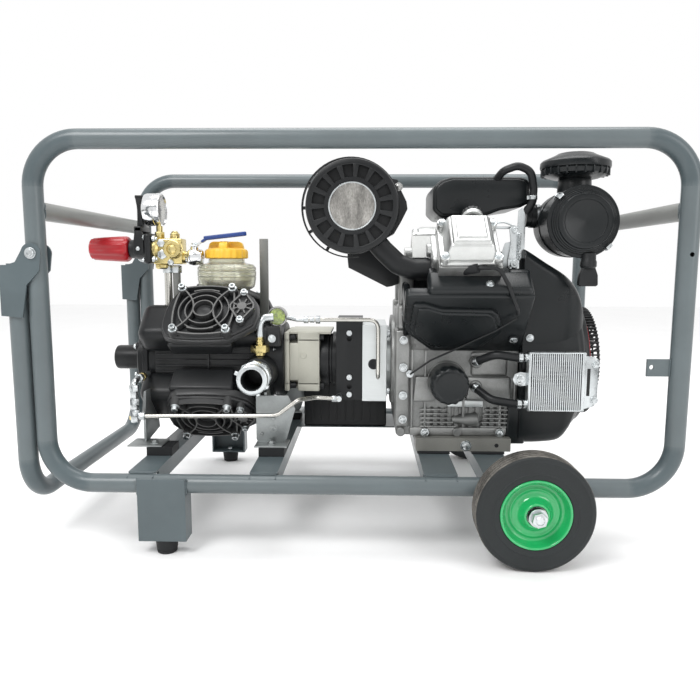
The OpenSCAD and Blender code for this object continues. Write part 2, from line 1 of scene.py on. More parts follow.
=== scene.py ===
"""Engine-driven pressure washer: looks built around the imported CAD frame."""

import json
import math
from contextlib import contextmanager

import bmesh
import bpy
from mathutils import Matrix, Vector


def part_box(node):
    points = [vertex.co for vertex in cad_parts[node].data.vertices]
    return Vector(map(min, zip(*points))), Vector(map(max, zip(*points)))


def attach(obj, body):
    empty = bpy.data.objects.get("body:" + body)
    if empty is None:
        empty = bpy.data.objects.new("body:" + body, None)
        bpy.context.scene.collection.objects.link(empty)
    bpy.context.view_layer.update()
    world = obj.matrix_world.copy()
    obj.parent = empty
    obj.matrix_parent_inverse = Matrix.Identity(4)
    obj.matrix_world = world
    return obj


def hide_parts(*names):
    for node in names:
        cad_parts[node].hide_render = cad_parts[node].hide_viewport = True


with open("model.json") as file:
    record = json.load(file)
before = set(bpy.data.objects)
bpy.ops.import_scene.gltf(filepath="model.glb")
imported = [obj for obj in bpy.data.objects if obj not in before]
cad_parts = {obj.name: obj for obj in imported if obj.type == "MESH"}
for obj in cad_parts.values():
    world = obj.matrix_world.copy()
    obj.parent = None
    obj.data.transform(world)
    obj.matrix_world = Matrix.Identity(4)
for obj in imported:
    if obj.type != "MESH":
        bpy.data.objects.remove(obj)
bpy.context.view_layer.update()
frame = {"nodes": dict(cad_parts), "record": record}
MM = 0.001


# ---------------------------------------------------------------- camera

def make_camera():
    """The view from the front of the machine, a little above its middle."""
    right = Vector((0.99967, 0.02554, 0.00257))
    up = Vector((-0.00583, 0.12863, 0.99168))
    back = right.cross(up).normalized()
    data = bpy.data.cameras.new("camera")
    data.lens, data.sensor_width = 33.557, 36.0
    camera = bpy.data.objects.new("camera", data)
    turn = Matrix((right, back.cross(right).normalized(), back)).transposed()
    camera.matrix_world = Matrix.Translation((0.03513, -1.40440, 0.51679)) @ turn.to_4x4()
    bpy.context.scene.collection.objects.link(camera)
    bpy.context.scene.camera = camera


make_camera()


# ---------------------------------------------------------------- where the CAD nodes are

BODY_OF = {node: body for body, nodes in frame["record"]["behaviour"]["bodies"].items() for node in nodes}


class Span:
    """The box of some CAD nodes at rest, in millimetres."""

    def __init__(self, *nodes):
        boxes = [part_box(node) for node in nodes]
        low = [min(box[0][i] for box in boxes) / MM for i in range(3)]
        high = [max(box[1][i] for box in boxes) / MM for i in range(3)]
        self.x0, self.y0, self.z0 = low
        self.x1, self.y1, self.z1 = high
        self.x, self.y, self.z = [(a + b) / 2 for a, b in zip(low, high)]


# ---------------------------------------------------------------- materials

def node_of(tree, kind, **values):
    """A shader node with its inputs or its own settings filled in."""
    node = tree.nodes.new(kind)
    for key, value in values.items():
        if key in node.inputs:
            node.inputs[key].default_value = value
        else:
            setattr(node, key, value)
    return node


def ramp(tree, source, stops):
    """Two colour stops spread over a source value."""
    node = tree.nodes.new("ShaderNodeValToRGB")
    elements = node.color_ramp.elements
    elements[0].position, elements[0].color = stops[0][0], (*stops[0][1], 1)
    elements[1].position, elements[1].color = stops[1][0], (*stops[1][1], 1)
    tree.links.new(source, node.inputs["Fac"])
    return node.outputs["Color"]


def mix(tree, factor, a, b, kind="MIX"):
    """Blends two colours, each a socket or a plain value."""
    node = tree.nodes.new("ShaderNodeMix")
    node.data_type, node.blend_type = "RGBA", kind
    for socket, value in ((node.inputs["Factor"], factor), (node.inputs["A"], a), (node.inputs["B"], b)):
        if isinstance(value, bpy.types.NodeSocket):
            tree.links.new(value, socket)
        elif isinstance(value, tuple):
            socket.default_value = (*value, 1)
        else:
            socket.default_value = value
    return node.outputs["Result"]


def grey(value):
    return (value, value, value)


def finish(name, colour, rough=0.4, metal=0.0, tone=0.12, grain=900, bump=0.06, wear=0.25, worn=None,
           blotch=9, stretch=(1, 1, 1), coat=0.0, clear=0.0, under=0.0, rough_range=0.1, shine=0.5):
    """A paint, plastic, rubber or metal whose tone, gloss and relief vary over the surface."""
    material = bpy.data.materials.new(name)
    material.use_nodes = True
    tree = material.node_tree
    shader = tree.nodes["Principled BSDF"]
    shader.inputs["Metallic"].default_value = metal
    shader.inputs["Coat Weight"].default_value = coat
    shader.inputs["Specular IOR Level"].default_value = shine
    shader.inputs["Transmission Weight"].default_value = clear
    if under:
        shader.inputs["Subsurface Weight"].default_value = under
        shader.inputs["Subsurface Radius"].default_value = (0.02, 0.02, 0.012)
    place = node_of(tree, "ShaderNodeTexCoord")
    scale = node_of(tree, "ShaderNodeMapping", Scale=stretch)
    tree.links.new(place.outputs["Object"], scale.inputs["Vector"])
    patches = node_of(tree, "ShaderNodeTexNoise", Scale=blotch, Detail=4.0, Roughness=0.6)
    specks = node_of(tree, "ShaderNodeTexNoise", Scale=grain, Detail=3.0, Roughness=0.65)
    for texture in (patches, specks):
        tree.links.new(scale.outputs["Vector"], texture.inputs["Vector"])
    darker = tuple(c * (1 - tone) for c in colour)
    lighter = tuple(min(1.0, c * (1 + tone)) for c in colour)
    paint = ramp(tree, patches.outputs["Fac"], [(0.32, darker), (0.68, lighter)])
    shade = ramp(tree, specks.outputs["Fac"], [(0.3, grey(1 - tone)), (0.7, grey(1.0))])
    paint = mix(tree, 1.0, paint, shade, "MULTIPLY")
    if wear:
        edge = node_of(tree, "ShaderNodeNewGeometry").outputs["Pointiness"]
        rubbed = ramp(tree, edge, [(0.53, grey(0.0)), (0.62, grey(wear))])
        bare = worn or tuple(min(1.0, c * 1.5 + 0.03) for c in colour)
        paint = mix(tree, rubbed, paint, bare)
    tree.links.new(paint, shader.inputs["Base Color"])
    gloss = ramp(tree, patches.outputs["Fac"], [(0.3, grey(rough - rough_range / 2)),
                                                (0.7, grey(rough + rough_range / 2))])
    tree.links.new(gloss, shader.inputs["Roughness"])
    relief = node_of(tree, "ShaderNodeBump", Strength=bump, Distance=0.0008)
    tree.links.new(specks.outputs["Fac"], relief.inputs["Height"])
    tree.links.new(relief.outputs["Normal"], shader.inputs["Normal"])
    return material


PAINT = finish("frame_paint", (0.070, 0.092, 0.100), rough=0.34, grain=1400, bump=0.10, wear=0.18,
               worn=(0.26, 0.28, 0.28), coat=0.12, shine=0.4)
TUBE = finish("cross_tube_paint", (0.19, 0.195, 0.185), rough=0.42, grain=1200, bump=0.10, wear=0.1)
ZINC = finish("zinc_steel", (0.60, 0.63, 0.64), rough=0.30, metal=1.0, tone=0.14, grain=500, bump=0.05,
              blotch=40, rough_range=0.22)
STEEL = finish("bearing_steel", (0.42, 0.42, 0.41), rough=0.28, metal=1.0, grain=700, blotch=30)
RUBBER = finish("black_rubber", (0.012, 0.013, 0.014), rough=0.62, grain=800, bump=0.14, wear=0.10, shine=0.3)
TYRE = finish("tyre_rubber", (0.016, 0.019, 0.020), rough=0.60, grain=600, bump=0.18, wear=0.08, tone=0.2,
              shine=0.35)
TREAD = finish("worn_tread", (0.15, 0.14, 0.125), rough=0.86, grain=240, bump=0.5, wear=0.0, tone=0.62,
               blotch=26)
GREEN = finish("rim_paint", (0.012, 0.36, 0.105), rough=0.16, grain=420, bump=0.03, tone=0.08, wear=0.12,
               worn=(0.10, 0.62, 0.28), coat=0.7)
CASTING = finish("black_casting", (0.010, 0.011, 0.012), rough=0.36, grain=700, bump=0.22, wear=0.35,
                 worn=(0.10, 0.10, 0.10), shine=0.3)
# A lighter copy of the black casting for the outward tops of the head ribs: a painted highlight where light
# falls on them.
RIB_TOP_HIGHLIGHT = finish("casting_rib_highlight", (0.085, 0.085, 0.083), rough=0.38, grain=700, bump=0.15, wear=0.2)
POLY = finish("reservoir_plastic", (0.93, 0.93, 0.80), rough=0.16, grain=300, bump=0.05, tone=0.05,
              wear=0.1, clear=0.85)
OIL = finish("oil_film", (0.32, 0.23, 0.07), rough=0.2, grain=200, clear=0.3, wear=0.0)
YELLOW = finish("yellow_plastic", (0.86, 0.50, 0.045), rough=0.34, grain=900, bump=0.08, tone=0.07, wear=0.15,
                under=0.08)
ALLOY = finish("cast_alloy", (0.25, 0.255, 0.25), rough=0.42, metal=0.78, tone=0.24, grain=620, bump=0.38,
               blotch=22, rough_range=0.18, worn=(0.66, 0.66, 0.65), wear=0.4)
COVER = finish("cast_cover", (0.60, 0.61, 0.60), rough=0.33, metal=0.85, tone=0.10, grain=620, bump=0.22,
               blotch=22, rough_range=0.14, worn=(0.84, 0.84, 0.83), wear=0.35)
BRIGHT = finish("milled_alloy", (0.62, 0.65, 0.65), rough=0.36, metal=0.75, tone=0.07, grain=500, bump=0.08,
                stretch=(0.06, 1, 1), worn=(0.85, 0.86, 0.86))
# A darker copy of the zinc for the pump brackets: painted shade for their shadowed faces. Its strong edge
# lightening is wear and also a painted highlight along the lit edges.
SHADED_BRACKET_ZINC = finish("bracket_zinc_painted_shade", (0.27, 0.29, 0.29), rough=0.40, metal=0.85, tone=0.2, grain=420, bump=0.08,
                 blotch=26, worn=(0.6, 0.62, 0.62), wear=0.7)
PIPE = finish("steel_pipe", (0.60, 0.59, 0.55), rough=0.24, metal=1.0, tone=0.12, grain=420, bump=0.04,
              blotch=30)
BRASS = finish("brass", (0.68, 0.56, 0.25), rough=0.27, metal=1.0, tone=0.16, grain=400, bump=0.08, blotch=34,
               worn=(0.90, 0.76, 0.40))
RED = finish("red_plastic", (0.36, 0.008, 0.014), rough=0.30, grain=1100, bump=0.08, tone=0.08, wear=0.15)
PLASTIC = finish("black_plastic", (0.012, 0.013, 0.014), rough=0.38, grain=1300, bump=0.16, wear=0.15,
                 shine=0.3)
GLOSSY = finish("shroud_plastic", (0.009, 0.011, 0.012), rough=0.30, grain=1500, bump=0.10, wear=0.12,
                worn=(0.05, 0.055, 0.06), shine=0.32)
CHROME = finish("chrome", (0.78, 0.79, 0.80), rough=0.14, metal=1.0, tone=0.05, grain=300, bump=0.02)
BLUE = finish("blue_grip", (0.012, 0.045, 0.21), rough=0.42, grain=800, bump=0.15, wear=0.15)
GEARBOX = finish("gearbox_alloy", (0.44, 0.435, 0.375), rough=0.48, metal=0.35, tone=0.08, grain=520,
                 bump=0.16, worn=(0.66, 0.66, 0.60))
CAST_BAR = finish("cast_bar", (0.17, 0.17, 0.155), rough=0.5, metal=0.3, tone=0.2, grain=520, bump=0.3)
BLACK = finish("black_metal", (0.009, 0.010, 0.011), rough=0.42, grain=900, bump=0.12, wear=0.22,
               worn=(0.08, 0.08, 0.08), shine=0.3)
DIAL = finish("dial_white", (0.80, 0.79, 0.74), rough=0.5, grain=200, tone=0.03, wear=0.0)
LIME = finish("sight_glass", (0.55, 0.80, 0.08), rough=0.12, grain=120, tone=0.45, blotch=150, wear=0.0,
              coat=1.0)
LENS = finish("clear_lens", (0.96, 0.97, 0.97), rough=0.06, grain=200, tone=0.02, wear=0.0, clear=1.0,
              rough_range=0.04)
BRUSHED = finish("brushed_mesh", (0.34, 0.33, 0.31), rough=0.42, metal=0.7, tone=0.45, grain=620, bump=0.9,
                 blotch=60, stretch=(1, 1, 0.35))
REDMETAL = finish("red_ring", (0.33, 0.018, 0.03), rough=0.4, grain=600, wear=0.2)


# ---------------------------------------------------------------- shapes

def rounded_path(points, radius, steps=8):
    """The points of a polyline with its corners rounded off."""
    points = [Vector(p) for p in points]
    path = [points[0]]
    for before, corner, after in zip(points, points[1:], points[2:]):
        u, v = before - corner, after - corner
        turn = u.angle(v, math.pi)
        reach = min(radius / max(math.tan(turn / 2), 0.05), 0.48 * u.length, 0.48 * v.length)
        a, b = corner + u.normalized() * reach, corner + v.normalized() * reach
        path += [a.lerp(corner, i / steps).lerp(corner.lerp(b, i / steps), i / steps)
                 for i in range(steps + 1)]
    return path + [points[-1]]


def facing(at, toward):
    """Local +Z runs from at along toward."""
    turn = Vector(toward).to_track_quat("Z", "Y").to_matrix().to_4x4()
    return Matrix.Translation(at) @ turn


def about(angle, axis, centre):
    """A turn about an axis through centre, which becomes the new origin."""
    return Matrix.Translation(centre) @ Matrix.Rotation(angle, 4, axis)


def mirrored(side, a, b):
    """The range from a to b on one side of the middle plane."""
    return tuple(sorted([side * a, side * b]))


AXES = {"x": lambda a, u, v: (a, u, v), "y": lambda a, u, v: (u, a, v), "z": lambda a, u, v: (u, v, a)}


class Shape:
    """Closed solids in millimetres that become one Blender object."""

    def __init__(self, *materials):
        self.bm = bmesh.new()
        self.base = Matrix()
        self.materials = materials
        self.slot = 0

    @contextmanager
    def at(self, matrix):
        held = self.base
        self.base = held @ matrix
        yield self
        self.base = held

    def solid(self, points, faces, soft=0.0, steps=2):
        verts = [self.bm.verts.new(self.base @ Vector(p)) for p in points]
        made = []
        for corners in faces:
            face = self.bm.faces.new([verts[i] for i in corners])
            face.material_index = self.slot
            made.append(face)
        bmesh.ops.recalc_face_normals(self.bm, faces=made)
        if soft:
            edges = dict.fromkeys(e for f in made for e in f.edges if e.calc_face_angle(0) > 0.5)
            bmesh.ops.bevel(self.bm, geom=list(edges), offset=soft, segments=steps, profile=0.5,
                            affect="EDGES", clamp_overlap=True, material=-1)

    def block(self, x, y, z, soft=0.0, steps=2):
        points = [(a, b, c) for a in x for b in y for c in z]
        faces = [(0, 1, 3, 2), (4, 6, 7, 5), (0, 4, 5, 1), (2, 3, 7, 6), (0, 2, 6, 4), (1, 5, 7, 3)]
        self.solid(points, faces, soft, steps)

    def frustum(self, x, y, z, inset, soft=0.0, steps=2):
        """A block whose top is smaller than its bottom by the inset on each side."""
        i, j = inset if isinstance(inset, tuple) else (inset, inset)
        points = [(x[0], y[0], z[0]), (x[1], y[0], z[0]), (x[1], y[1], z[0]), (x[0], y[1], z[0]),
                  (x[0] + i, y[0] + j, z[1]), (x[1] - i, y[0] + j, z[1]),
                  (x[1] - i, y[1] - j, z[1]), (x[0] + i, y[1] - j, z[1])]
        faces = [(0, 1, 2, 3), (4, 5, 6, 7), (0, 1, 5, 4), (1, 2, 6, 5), (2, 3, 7, 6), (3, 0, 4, 7)]
        self.solid(points, faces, soft, steps)

    def prism(self, axis, outline, a, b, soft=0.0, steps=2):
        count = len(outline)
        points = [AXES[axis](end, u, v) for end in (a, b) for u, v in outline]
        faces = [tuple(range(count)), tuple(range(count, 2 * count))]
        faces += [(i, (i + 1) % count, count + (i + 1) % count, count + i) for i in range(count)]
        self.solid(points, faces, soft, steps)

    def loft(self, loops):
        """Joins closed loops of the same length and caps the first and the last."""
        n, points = len(loops[0]), [p for loop in loops for p in loop]
        faces = [tuple(range(n)), tuple(range(len(points) - n, len(points)))]
        for k in range(len(loops) - 1):
            faces += [(k * n + i, k * n + (i + 1) % n, (k + 1) * n + (i + 1) % n, (k + 1) * n + i)
                      for i in range(n)]
        self.solid(points, faces)

    def lathe(self, axis, centre, profile, seg=56, ring=False, waves=0):
        """Turns (along, radius) points, or (along, radius, wave depth), round an axis through centre."""
        rings, points, faces = [], [], []
        for along, radius, *depth in profile:
            if radius <= 0:
                rings.append([len(points)])
                points.append(AXES[axis](along, *centre))
                continue
            rings.append(list(range(len(points), len(points) + seg)))
            for i in range(seg):
                t = 2 * math.pi * i / seg
                r = radius + (depth[0] * math.cos(waves * t) if depth else 0)
                points.append(AXES[axis](along, centre[0] + r * math.cos(t), centre[1] + r * math.sin(t)))
        pairs = list(zip(rings, rings[1:]))
        if ring:
            pairs.append((rings[-1], rings[0]))
        else:
            faces += [tuple(r) for r in (rings[0], rings[-1]) if len(r) > 1]
        for a, b in pairs:
            for i in range(seg if len(a) + len(b) > 2 else 0):
                j = (i + 1) % seg
                if len(a) == 1:
                    faces.append((a[0], b[i], b[j]))
                elif len(b) == 1:
                    faces.append((a[i], a[j], b[0]))
                else:
                    faces.append((a[i], a[j], b[j], b[i]))
        self.solid(points, faces)

    def rod(self, axis, centre, a, b, r, seg=40, edge=0.6):
        """A cylinder with a small chamfer at each end."""
        edge = min(edge, abs(b - a) / 2.5, r / 2)
        step = edge if b > a else -edge
        self.lathe(axis, centre, [(a, r - edge), (a + step, r), (b - step, r), (b, r - edge)], seg)

    def hoop(self, axis, centre, a, b, inner, outer, seg=56, edge=0.5):
        """A ring with a rectangular section and chamfered edges."""
        self.lathe(axis, centre, [(a, inner + edge), (a, outer - edge), (a + edge, outer), (b - edge, outer),
                                  (b, outer - edge), (b, inner + edge), (b - edge, inner),
                                  (a + edge, inner)], seg, ring=True)

    def tube(self, points, r, bend=0.0, seg=18, radii=None):
        """Sweeps a circle along a path, with rounded corners."""
        path = rounded_path(points, bend) if bend else [Vector(p) for p in points]
        heading = [(b - a).normalized() for a, b in zip(path, path[1:])]
        heading = [heading[0]] + [(a + b).normalized() for a, b in zip(heading, heading[1:])] + [heading[-1]]
        side = heading[0].orthogonal().normalized()
        verts, faces, rings = [], [], []
        for i, (p, d) in enumerate(zip(path, heading)):
            side = (side - d * side.dot(d)).normalized()
            other = d.cross(side)
            size = radii[i] if radii else r
            rings.append(list(range(len(verts), len(verts) + seg)))
            verts += [p + side * (size * math.cos(2 * math.pi * k / seg))
                      + other * (size * math.sin(2 * math.pi * k / seg)) for k in range(seg)]
        for a, b in zip(rings, rings[1:]):
            faces += [(a[k], a[(k + 1) % seg], b[(k + 1) % seg], b[k]) for k in range(seg)]
        faces += [tuple(rings[0]), tuple(rings[-1])]
        self.solid(verts, faces)

    def hexagon(self, axis, centre, a, b, r, turn=0.0):
        """A nut: a prism whose edges are softened by a small bevel."""
        outline = [(centre[0] + r * math.cos(t), centre[1] + r * math.sin(t)) for t in circle(6, turn)]
        self.prism(axis, outline, a, b, soft=min(0.9, r * 0.08))

    def hex_bolt(self, at, toward, r=7.0, h=5.0, washer=True):
        with self.at(facing(at, toward)):
            if washer:
                self.hoop("z", (0, 0), 0, 1.6, r * 0.4, r * 1.35, seg=28)
            self.hexagon("z", (0, 0), 1.2, 1.2 + h, r)
            self.lathe("z", (0, 0), [(1 + h, r * 0.5), (1.9 + h, r * 0.46), (2.2 + h, r * 0.3)], seg=20)

    def cap_bolt(self, at, toward, r=6.5, h=9.0, washer=True):
        """A socket head screw with its hexagonal socket."""
        with self.at(facing(at, toward)):
            if washer:
                self.hoop("z", (0, 0), 0, 1.8, r * 0.5, r * 1.3, seg=28)
            seg = 24
            hexed = [r * 0.5 / math.cos((t % 4 - 2) * math.pi / 12) for t in range(seg)]
            rows = [(1.6, [r] * seg), (1.2 + h, [r] * seg), (2.0 + h, [r - 0.8] * seg),
                    (2.0 + h, hexed), (2.0 + h * 0.45, hexed)]
            self.loft([[(reach * math.cos(t), reach * math.sin(t), z) for reach, t in zip(row, circle(seg))]
                       for z, row in rows])

    def weld(self, points, r):
        """A rippled bead along a path."""
        path = [Vector(p) for p in points]
        fine = [path[0]]
        for a, b in zip(path, path[1:]):
            count = max(1, round((b - a).length))
            fine += [a.lerp(b, (i + 1) / count) for i in range(count)]
        self.tube(fine, r, seg=10, radii=[
            r * (0.86 + 0.14 * math.cos(2 * math.pi * i / 3) + 0.06 * math.sin(i * 1.7))
            for i in range(len(fine))])

    def make(self, name, *nodes, bevel=0.5, body=None, smooth=32):
        """Turns the gathered solids into one object that rides on the body of those CAD nodes."""
        bmesh.ops.scale(self.bm, vec=(MM, MM, MM), verts=self.bm.verts)
        mesh = bpy.data.meshes.new(name)
        self.bm.to_mesh(mesh)
        self.bm.free()
        mesh.shade_smooth()
        mesh.set_sharp_from_angle(angle=math.radians(smooth))
        obj = bpy.data.objects.new(name, mesh)
        for material in self.materials:
            mesh.materials.append(material)
        bpy.context.scene.collection.objects.link(obj)
        if bevel:
            soften(obj, bevel)
        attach(obj, body or BODY_OF[nodes[0]])
        if nodes:
            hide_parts(*nodes)
        return obj


def soften(obj, width):
    """Rounds the sharp edges a little, so that they catch the light."""
    bevel = obj.modifiers.new("edges", "BEVEL")
    bevel.width, bevel.segments, bevel.limit_method = width * MM, 2, "ANGLE"
    bevel.angle_limit = math.radians(38)
    bevel.harden_normals = True
    bevel.use_clamp_overlap = True


def keep(material, *nodes, bevel=0.0):
    """CAD nodes whose shape is right get their finish and softened edges."""
    for name in nodes:
        obj = frame["nodes"][name]
        obj.data.materials.clear()
        obj.data.materials.append(material)
        if bevel:
            weld = obj.modifiers.new("weld", "WELD")
            weld.merge_threshold = 0.00001
            soften(obj, bevel)


def circle(count, start=0.0):
    """Evenly spaced angles all the way round."""
    return [start + 2 * math.pi * i / count for i in range(count)]


# ---------------------------------------------------------------- frame and running gear

def frame_parts():
    """The CAD nodes whose shape is kept as it is."""
    keep(PAINT, "front_side_frame", "rear_side_frame", "handle_tube")
    keep(PAINT, "handle_brackets", "pump_rails", "engine_rails", "stand_legs", "axle_brackets", bevel=0.9)
    keep(TUBE, "upper_cross_tubes")
    keep(STEEL, "pump_shaft", "crankshaft")
    keep(RUBBER, "pump_diaphragms", "pump_dampers", bevel=1.0)


def weld_beads():
    """The beads at the cross tubes, rails, legs and lug."""
    tubes, rails, legs = Span("front_side_frame"), Span("pump_rails"), Span("stand_legs")
    cross = Span("upper_cross_tubes")
    side = 280
    beads = Shape(PAINT)
    r_main, r_cross = 16.85, 16.5
    for x in (tubes.x0 + r_main, 575):
        for sign in (-1, 1):
            saddle = []
            for t in circle(24):
                u = r_cross * math.cos(t)
                reach = side - math.sqrt(max(r_main ** 2 - u * u, 0)) - 0.6
                saddle.append((min(x + u, tubes.x1 - 2.4), sign * reach, cross.z + r_cross * math.sin(t)))
            beads.weld(saddle + saddle[:1], r=2.2)
    top = rails.z1
    for x in (-367, -148, 169, 276):
        half = 25 if x < 0 else 30
        for sign in (-1, 1):
            beads.weld([(x - half + 2, sign * side, top - 4.6), (x - half + 2, sign * 291, top - 8)], r=1.8)
            beads.weld([(x + half - 2, sign * side, top - 4.6), (x + half - 2, sign * 291, top - 8)], r=1.8)
            beads.weld([(x - half + 4, sign * 279.5, top - 2.5),
                        (x + half - 4, sign * 279.5, top - 2.5)], r=1.8)
    for sign in (-1, 1):
        for x in (legs.x0 - 0.6, legs.x1 + 0.6):
            beads.weld([(x, sign * 296.2, 112), (x, sign * 297.6, 127), (x, sign * 296.2, 141)], r=2.2)
        beads.weld([(308, sign * 262.6, 139), (342, sign * 262.6, 139)], r=1.8)
    beads.weld([(557, -282.4, 329), (557, -282.4, 357)], r=1.8)
    beads.make("weld_beads", body="frame", bevel=0)


def feet():
    """The rubber feet with their studs and nuts."""
    s = Span("rubber_feet")
    rubber = Shape(RUBBER, ZINC)
    for y in (s.y0 + 20.5, s.y1 - 20.5):
        rubber.slot = 0
        rubber.lathe("z", (s.x, y), [(0, 12), (0, 16), (1.5, 17.6), (5, 18.2), (5.6, 17.2), (7.4, 17.2),
                                     (8, 18.6), (16, 19.4), (22, 20), (24.6, 20.5), (26, 19.8)])
        rubber.slot = 1
        rubber.rod("z", (s.x, y), 26, s.z1, 4.8)
        rubber.hexagon("z", (s.x, y), 30.2, s.z1 - 0.6, 8.4)
    rubber.make("foot_pads", "rubber_feet")


def wheel(side):
    """side is -1 at the front and 1 at the back."""
    name = "front" if side < 0 else "rear"
    tyre = Span(name + "_tyre")
    centre = (tyre.x, tyre.z)
    out = tyre.y0 if side < 0 else tyre.y1
    R = (tyre.x1 - tyre.x0) / 2

    def turned(shape, profile, **options):
        shape.lathe("y", centre, [(out - side * depth, r) for depth, r in profile], seg=96, ring=True,
                    **options)

    rubber = Shape(TYRE, TREAD)
    turned(rubber, [(2.4, 60.8), (0.9, 62.5), (0.5, 70), (-0.2, 71), (-0.2, 72.4), (0.5, 73.4), (0.3, 91.5),
                    (-0.1, 92.4), (0.4, 93.6), (1.6, R - 3.4), (4.4, R - 0.9), (7.2, R), (9.4, R),
                    (9.9, R - 2.8), (12.2, R - 2.8), (12.7, R), (18.4, R), (18.9, R - 2.6), (21.2, R - 2.6),
                    (21.7, R), (28.3, R), (28.8, R - 2.6), (31.1, R - 2.6), (31.6, R), (37.3, R),
                    (37.8, R - 2.8), (40.1, R - 2.8), (40.6, R), (43.6, R), (46.4, R - 0.9), (48.6, R - 3.6),
                    (49.6, 92), (49.8, 73), (49, 62), (48, 60.8)])
    for face in rubber.bm.faces:
        middle = face.calc_center_median()
        reach = math.hypot(middle.x - centre[0], middle.z - centre[1])
        face.material_index = 1 if reach > R - 1.9 and 3.0 < side * (out - middle.y) < 47.4 else 0
    rubber.make(name + "_tyre_rubber", name + "_tyre", bevel=0)

    dish = Shape(GREEN)
    turned(dish, [(-2.2, 17.6), (-3, 18.2), (-3, 20.4), (-2, 21.4), (3.5, 23.2), (10.5, 26.5), (14.4, 30.5),
                  (15.6, 35), (15.2, 39.4), (14.1, 40.6), (13.9, 41.6), (14.9, 43), (16.9, 46), (17.0, 48.8),
                  (14.2, 51.6), (6, 55), (1.6, 56.2), (-0.4, 57.4), (-0.7, 58.9), (-0.2, 60.3), (1.2, 61),
                  (46, 61), (48.6, 60.2), (48.9, 57), (47.6, 55.2), (30, 52), (21, 49.5), (18.6, 44),
                  (19.2, 30), (22, 23), (47.6, 22.4), (47.6, 17.6)])
    dish.make(name + "_rim_dish", name + "_rim", bevel=0, smooth=50)


def bearings_and_axle():
    """Ball races, the threaded axle, and the nuts of the wheels and the handle."""
    s, axle = Span("wheel_bearings"), Span("wheel_axle")
    centre = (axle.x, axle.z)
    bearing_width = 11
    races = Shape(STEEL, RUBBER)
    for sign in (-1, 1):
        for face in (302, s.y1 - bearing_width):
            near, far = sorted((sign * face, sign * face + sign * bearing_width))
            races.slot = 0
            races.hoop("y", centre, near, far, 14.6, 17.3)
            races.hoop("y", centre, near, far, 8.05, 10.6)
            races.slot = 1
            races.hoop("y", centre, near + 0.9, far - 0.9, 10.4, 14.8)
    races.make("ball_races", "wheel_bearings", bevel=0)

    rod = Shape(ZINC)
    ends = [(axle.y0, 5.6), (axle.y0 + 1.6, 7.6)]
    thread = [(axle.y0 + 2.4 + 0.7 * i, 7.2 if i % 2 else 8.0) for i in range(30)]
    half = ends + thread
    rod.lathe("y", centre, half + [(-y, r) for y, r in reversed(half)], seg=28)
    rod.make("axle_rod", "wheel_axle", bevel=0)

    nuts = Shape(ZINC)
    brackets = Span("handle_brackets")
    for sign in (-1, 1):
        at = [sign * v for v in (axle.y1 - 2.2, axle.y1 - 13, axle.y1 - 15.6)]
        nuts.hexagon("y", centre, *sorted(at[:2]), 13.6, turn=0.3)
        nuts.hoop("y", centre, *sorted(at[1:]), 8.05, 16)
        pivot = (-535, 536)
        outer, inner = brackets.y1, brackets.y1 - 42.5
        nuts.rod("y", pivot, *mirrored(sign, outer + 0.4, inner - 0.4), 5.9)
        nuts.cap_bolt((pivot[0], sign * (outer + 0.2), pivot[1]), (0, sign, 0), r=7.6, h=3.6)
        nuts.hex_bolt((pivot[0], sign * (inner - 0.2), pivot[1]), (0, -sign, 0), r=9.5, h=7)
    nuts.make("frame_nuts", "frame_fasteners", bevel=0.3)


frame_parts()
weld_beads()
feet()
wheel(-1)
wheel(1)
bearings_and_axle()


# ---------------------------------------------------------------- pump

PUMP = Span("pump_heads")
DRIVE_Z = PUMP.z
HEAD_BASE = 128
HEAD_TURNS = [math.radians(a) for a in (45, -45, 135, -135)]
HEAD_BOLTS = [(x, y) for x in (-51.5, 51.5) for y in (-54, 54)]
CORNERS = [(-1, -1), (-1, 1), (1, -1), (1, 1)]


def pump_quarter(turn):
    """A head's own axes: +X along the pump, +Z out along the piston."""
    return about(turn, "X", (PUMP.x, 0, DRIVE_Z))


def bow(points):
    """A smooth curve through three points, as a flat list."""
    a, b, c = [Vector(p) for p in points]
    b = b * 2 - (a + c) / 2
    return [a.lerp(b, t).lerp(b.lerp(c, t), t) for t in [i / 10 for i in range(11)]]


def rib(shape, line, half, z0, z1):
    """A wall of even thickness along a flat line of points."""
    left, right = [], []
    for i, p in enumerate(line):
        d = (line[min(i + 1, len(line) - 1)] - line[max(i - 1, 0)]).normalized()
        n = Vector((-d.y, d.x, 0)) * half
        left.append((p + n).xy)
        right.append((p - n).xy)
    count = len(line)
    points = [(q.x, q.y, z) for z in (z0, z1) for q in left + right]
    faces = []
    for i in range(count - 1):
        a, b, c, d = i, i + 1, count + i + 1, count + i
        e = 2 * count
        faces += [(a, b, c, d), (a + e, b + e, c + e, d + e), (a, b, b + e, a + e), (d, c, c + e, d + e)]
    for i in (0, count - 1):
        faces.append((i, count + i, 3 * count + i, 2 * count + i))
    shape.solid(points, faces)


